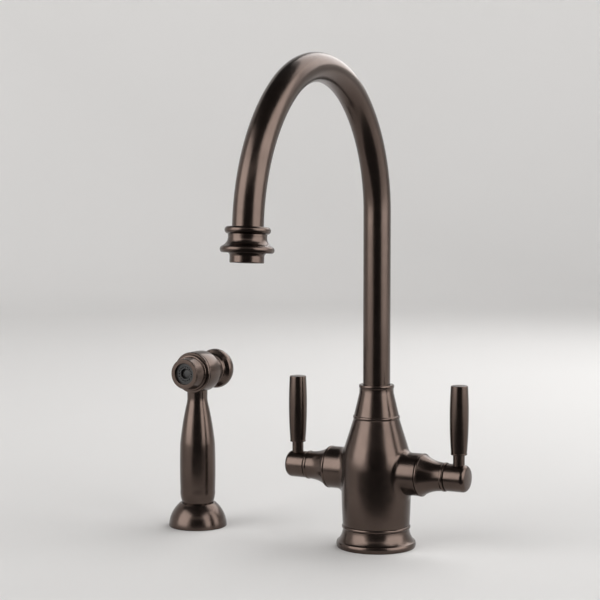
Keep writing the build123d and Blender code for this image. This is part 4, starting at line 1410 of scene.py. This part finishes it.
@dataclass
class SpraySpring:
    """Wire spring between the barrel's web and the button's floor, pressed shorter by the button."""

    mean_r: float = 7.0
    wire_r: float = 0.7
    turns: int = 6
    steps: int = 28
    wire_steps: int = 12
    low: float = -23.2
    high: float = -4.3
    travel: float = 4.0

    def build(self) -> None:
        """Builds the spring."""
        clear_selection()
        bpy.ops.mesh.primitive_circle_add(vertices=self.wire_steps, radius=self.wire_r * MM,
                                          location=(self.mean_r * MM, 0, self.low * MM),
                                          rotation=(math.pi / 2, 0, 0))
        spring = named("button_spring")
        apply(spring, "SCREW", angle=math.tau, iterations=self.turns, steps=self.steps, axis="Z",
              screw_offset=(self.high - self.low) / self.turns * MM)
        edit(spring)
        bpy.ops.mesh.select_all(action="DESELECT")
        bpy.ops.mesh.select_non_manifold()
        bpy.ops.mesh.fill()
        close_up()
        put(spring, spray_frame())
        finish(spring, "spray_spring", Part.SPRAY, Slot.STEEL)
        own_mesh(spring)


# ---- Under the deck ----

@dataclass
class DeckPiece:
    """Piece of a mounting under the deck, turned on an upright axis at x."""

    name: str
    node: str
    slot: Slot
    x: float

    def turn(self, shape: Section) -> Piece:
        """Turns the piece's half section."""
        return turned(self.name, shape, upright(self.x), ROD_STEPS)

    def dress(self, piece: Piece, smooth: float = SMOOTH) -> None:
        """Finishes the piece."""
        finish(piece, self.node, Part.BODY, self.slot, smooth)


@dataclass
class Shank(DeckPiece):
    """Hollow threaded shank with a plain lead at its end, and a bore that may widen above wide_low.

    Each turn of the thread has turn_points, from low to high: how deep and how far up in the turn.
    """

    radius: float
    lead_r: float
    bore_r: float
    low: float
    top: float
    wide_r: float = 0.0
    wide_low: float = 0.0
    lead_l: float = 5.0
    pitch: float = 2.0
    depth: float = 0.8
    relief: float = 1.2
    edge: float = 0.12
    smooth: float = 28.0
    turn_points: tuple[Pair, ...] = ((1, 0.08), (0, 0.42), (0, 0.58), (1, 0.92))

    def build(self) -> None:
        """Builds the shank."""
        thread_low, thread_high = self.low + self.lead_l, self.top - self.relief
        count = int((thread_high - thread_low) / self.pitch)
        step = (thread_high - thread_low) / count
        thread = [(self.radius - factor * self.depth, thread_low + i * step + share * step)
                  for i in range(count) for factor, share in self.turn_points]
        bore = [(self.bore_r, self.top)]
        if self.wide_r:
            bore = [(self.wide_r, self.top), (self.wide_r, self.wide_low), (self.bore_r, self.wide_low)]
        shape = Section((self.bore_r, self.low), (self.lead_r, self.low), (self.lead_r, thread_low), *thread,
                        (self.radius, thread_high), (self.radius, self.top), *bore, edge=self.edge)
        self.dress(self.turn(shape), self.smooth)


@dataclass
class HexNut(DeckPiece):
    """Hexagonal nut with chamfered corners and a countersunk bore."""

    corner_r: float
    bore_r: float
    low: float
    height: float
    sink: float = 0.8
    chamfer: float = 0.5
    edge: float = 0.1
    smooth: float = 20.0

    def build(self) -> None:
        """Builds the nut."""
        low, high, sixth = self.low, self.low + self.height, math.pi / HEX
        flat_r = self.corner_r * math.cos(sixth)
        drop, wide = self.chamfer * (self.corner_r - flat_r), 2 * self.corner_r - flat_r
        sunk = self.bore_r + self.sink
        shape = Section((sunk, low), (flat_r, low), (wide, low + 2 * drop), (wide, high - 2 * drop),
                        (flat_r, high), (sunk, high), (self.bore_r, high - self.sink),
                        (self.bore_r, low + self.sink), edge=self.edge)
        nut = self.turn(shape)
        bar = hexagon(self.corner_r, 2 * self.height, (self.x, 0, low + 0.5 * self.height), sixth)
        cut(nut, bar, operation="INTERSECT")
        self.dress(nut, self.smooth)


@dataclass
class DeckRing(DeckPiece):
    """Flat washer or gasket with eased edges."""

    outer: float
    bore: float
    low: float
    high: float
    edge: float = 0.3

    def build(self) -> None:
        """Builds the ring."""
        self.dress(self.turn(Section((self.bore, self.low), (self.outer, self.low), (self.outer, self.high),
                                     (self.bore, self.high), edge=self.edge)))


UNDER_DECK = (
    Shank("shank_thread", "mounting_shank", Slot.RAW_BRASS, 0.0,
          radius=16.5, lead_r=15.6, bore_r=13.2, low=-58.0, top=14.0),
    DeckRing("pressed_washer", "deck_rubber_washer", Slot.BLACK_RUBBER, 0.0,
             outer=29.0, bore=16.55, low=-33.0, high=-30.0, edge=0.6),
    DeckRing("plate_washer", "deck_steel_washer", Slot.STEEL, 0.0,
             outer=28.0, bore=16.55, low=-35.0, high=-33.0),
    HexNut("shank_nut", "deck_lock_nut", Slot.RAW_BRASS, 0.0,
           corner_r=26.0, bore_r=16.55, low=-47.0, height=12.0),
    Shank("holder_thread", "spray_holder_shank", Slot.BLACK_PLASTIC, SPRAY_X,
          radius=14.3, lead_r=13.5, bore_r=11.8, low=-52.0, top=12.0, wide_r=12.2, wide_low=-16.0),
    DeckRing("holder_pressed_washer", "spray_holder_washer", Slot.BLACK_RUBBER, SPRAY_X,
             outer=22.0, bore=14.35, low=-32.0, high=-30.0, edge=0.5),
    HexNut("holder_nut", "spray_holder_nut", Slot.BLACK_PLASTIC, SPRAY_X,
           corner_r=21.0, bore_r=14.35, low=-41.0, height=9.0),
)


# ---- Hidden pieces, studio and camera ----

def dress_nodes() -> None:
    """Gives every node of the model its finish, from the record's slots."""
    slots = {entry["node"]: Slot(entry["material_slot"]) for entry in frame["record"]["subparts"]}
    for name, node in frame["nodes"].items():
        for holder in node.material_slots:
            holder.material = MATERIALS[slots[name]]


@dataclass
class Camera:
    """Camera at the photograph's place, solved from it."""

    spot: Triple = (558.2, -1176.3, 294.23)
    turn: float = 0.4910
    tilt: float = -0.0706
    focal_px: float = 1606.16
    image_px: float = 600.0
    sensor_mm: float = 36.0
    far: float = 50.0

    def build(self) -> None:
        """Adds the camera and makes it the scene's."""
        clear_selection()
        bpy.ops.object.camera_add(location=Vector(self.spot) * MM)
        camera = bpy.context.object
        camera.rotation_euler = (math.pi / 2 + self.tilt, 0.0, self.turn)
        camera.data.sensor_width = self.sensor_mm
        camera.data.lens = self.focal_px * self.sensor_mm / self.image_px
        camera.data.clip_end = self.far
        bpy.context.scene.camera = camera


@dataclass
class Softbox:
    """Large soft lamp at a place round the object, in metres, turned from the camera's side by degrees."""

    name: str
    degrees: float
    distance: float
    height: float
    width: float
    tall: float
    radiance: float
    target: Triple = (-0.05, -0.08, 0.2)

    def build(self, towards: Vector) -> None:
        """Adds the lamp.

        Args:
            towards: level way from the object to the camera.
        """
        clear_selection()
        target = Vector(self.target)
        way = Matrix.Rotation(math.radians(self.degrees), 3, "Z") @ towards
        spot = target + way * self.distance + Vector((0, 0, self.height))
        bpy.ops.object.light_add(type="AREA", location=spot)
        lamp = bpy.context.object
        lamp.name = self.name
        lamp.data.shape = "RECTANGLE"
        lamp.data.size, lamp.data.size_y = self.width, self.tall
        lamp.data.energy = math.pi * self.width * self.tall * self.radiance
        lamp.rotation_euler = (target - lamp.location).to_track_quat("-Z", "Y").to_euler()
        lamp.visible_camera = False


@dataclass
class Flag:
    """Black card out of the picture, between the object and the camera, that shows in the metal alone.

    It lies in front of the camera's foot and stands up behind it, as a photographer's flag does. Its
    sizes are in metres.
    """

    near: float = 0.12
    far: float = 1.9
    near_half: float = 0.32
    far_half: float = 1.15
    lift: float = 0.002
    tall: float = 1.3
    black: float = 0.05
    worn: float = 1.4
    roughness: float = 0.95
    cloud: Pair = (3.0, 2.0)

    def build(self) -> None:
        """Builds the card in the camera's direction."""
        corners = [(side * self.near_half, -self.near, self.lift) for side in (-1, 1)]
        card = wire("black_flag", corners, 1.0)
        extrude((0, self.near - self.far, 0))
        bpy.ops.transform.resize(value=(self.far_half / self.near_half, 1, 1),
                                 center_override=(0, -self.far, self.lift))
        extrude((0, 0, self.tall))
        put(card, Matrix.Rotation(Camera.turn, 4, "Z"))
        sheet = NodeSheet("black_card")
        cloud = sheet.spread(sheet.noise(*self.cloud), WIDE_LIMITS)
        sheet.tint(cloud, (self.black,) * 3, (self.worn * self.black,) * 3)
        sheet.set("Roughness", self.roughness)
        sheet.set("Specular IOR Level", 0.0)
        card.data.materials.append(sheet.material)
        card.visible_camera = card.visible_diffuse = card.visible_transmission = card.visible_shadow = False


@dataclass
class Studio:
    """Round pale room whose floor curves up into its wall, soft lamps and a dim world, in metres."""

    pale: Triple = (0.72, 0.71, 0.70)
    shade: float = 0.98
    roughness: float = 0.9
    sheen: float = 0.1
    cloud: Pair = (1.5, 2.0)
    room: float = 0.06
    floor_r: float = 2.6
    bend_r: float = 0.9
    bend_degrees: int = 6
    wall_h: float = 3.2
    sides: int = 96
    glow: float = 0.3
    glow_span: Pair = (0.3, 2.6)
    lamps: tuple[Softbox, ...] = (
        Softbox("left_softbox", degrees=-62.0, distance=2.5, height=1.0, width=2.4, tall=2.8, radiance=2.6),
        Softbox("right_softbox", degrees=70.0, distance=2.5, height=1.0, width=3.2, tall=2.8, radiance=2.4),
        Softbox("back_softbox", degrees=142.0, distance=1.5, height=1.25, width=1.8, tall=1.6, radiance=2.6),
    )

    def build(self) -> None:
        """Builds the room, the flag, the lamps and the world."""
        self.backdrop()
        Flag().build()
        for lamp in self.lamps:
            lamp.build(Vector((*Camera.spot[:2], 0)).normalized())
        world = bpy.data.worlds.new("room")
        bpy.context.scene.world = world
        world.use_nodes = True
        sky = world.node_tree.nodes["Background"]
        sky.inputs["Color"].default_value = (1, 1, 1, 1)
        sky.inputs["Strength"].default_value = self.room
        bpy.context.scene.view_settings.view_transform = "Standard"

    def backdrop(self) -> None:
        """Floor all round that curves up into a round wall."""
        turns = [math.radians(a) for a in range(0, 91, self.bend_degrees)]
        bend = [(self.floor_r + self.bend_r * math.sin(a), self.bend_r * (1 - math.cos(a))) for a in turns]
        chain = [(0.0, 0.0), *bend, (self.floor_r + self.bend_r, self.wall_h)]
        wall = spun("studio_backdrop", chain, self.sides, scale=1.0)
        bpy.ops.object.shade_smooth_by_angle(angle=math.radians(SMOOTH))
        sheet = NodeSheet("pale_floor")
        cloud = sheet.spread(sheet.noise(*self.cloud), WIDE_LIMITS)
        sheet.tint(cloud, tuple(self.shade * c for c in self.pale), self.pale)
        away = sheet.add("VectorMath", sheet.place, operation="LENGTH").outputs["Value"]
        glow = sheet.spread(away, self.glow_span, (0.0, self.glow))
        sheet.drive("Emission Strength", sheet.calc("MULTIPLY", glow, sheet.seen()))
        sheet.set("Emission Color", (*self.pale, 1.0))
        sheet.set("Roughness", self.roughness)
        sheet.set("Specular IOR Level", self.sheen)
        wall.data.materials.append(sheet.material)


def main() -> None:
    """Builds the faucet, its finishes and its studio."""
    logging.basicConfig(level=logging.INFO, format="%(message)s")
    for slot, look in FINISHES.items():
        MATERIALS[slot] = look.material()
    Camera().build()
    dress_nodes()
    spout = Spout()
    for assembly in (Base(), ValveBody(), NeckCollar(), spout):
        assembly.build()
    Outlet().build(spout.outlet())
    for side in Side:
        Bonnet(side).build()
        Lever(side).build()
    for assembly in (SprayHolder(), SprayHandle(), SprayHead(), SprayButton(), SpraySpring(), *UNDER_DECK):
        assembly.build()
    Studio().build()


if __name__ == "__main__":
    main()
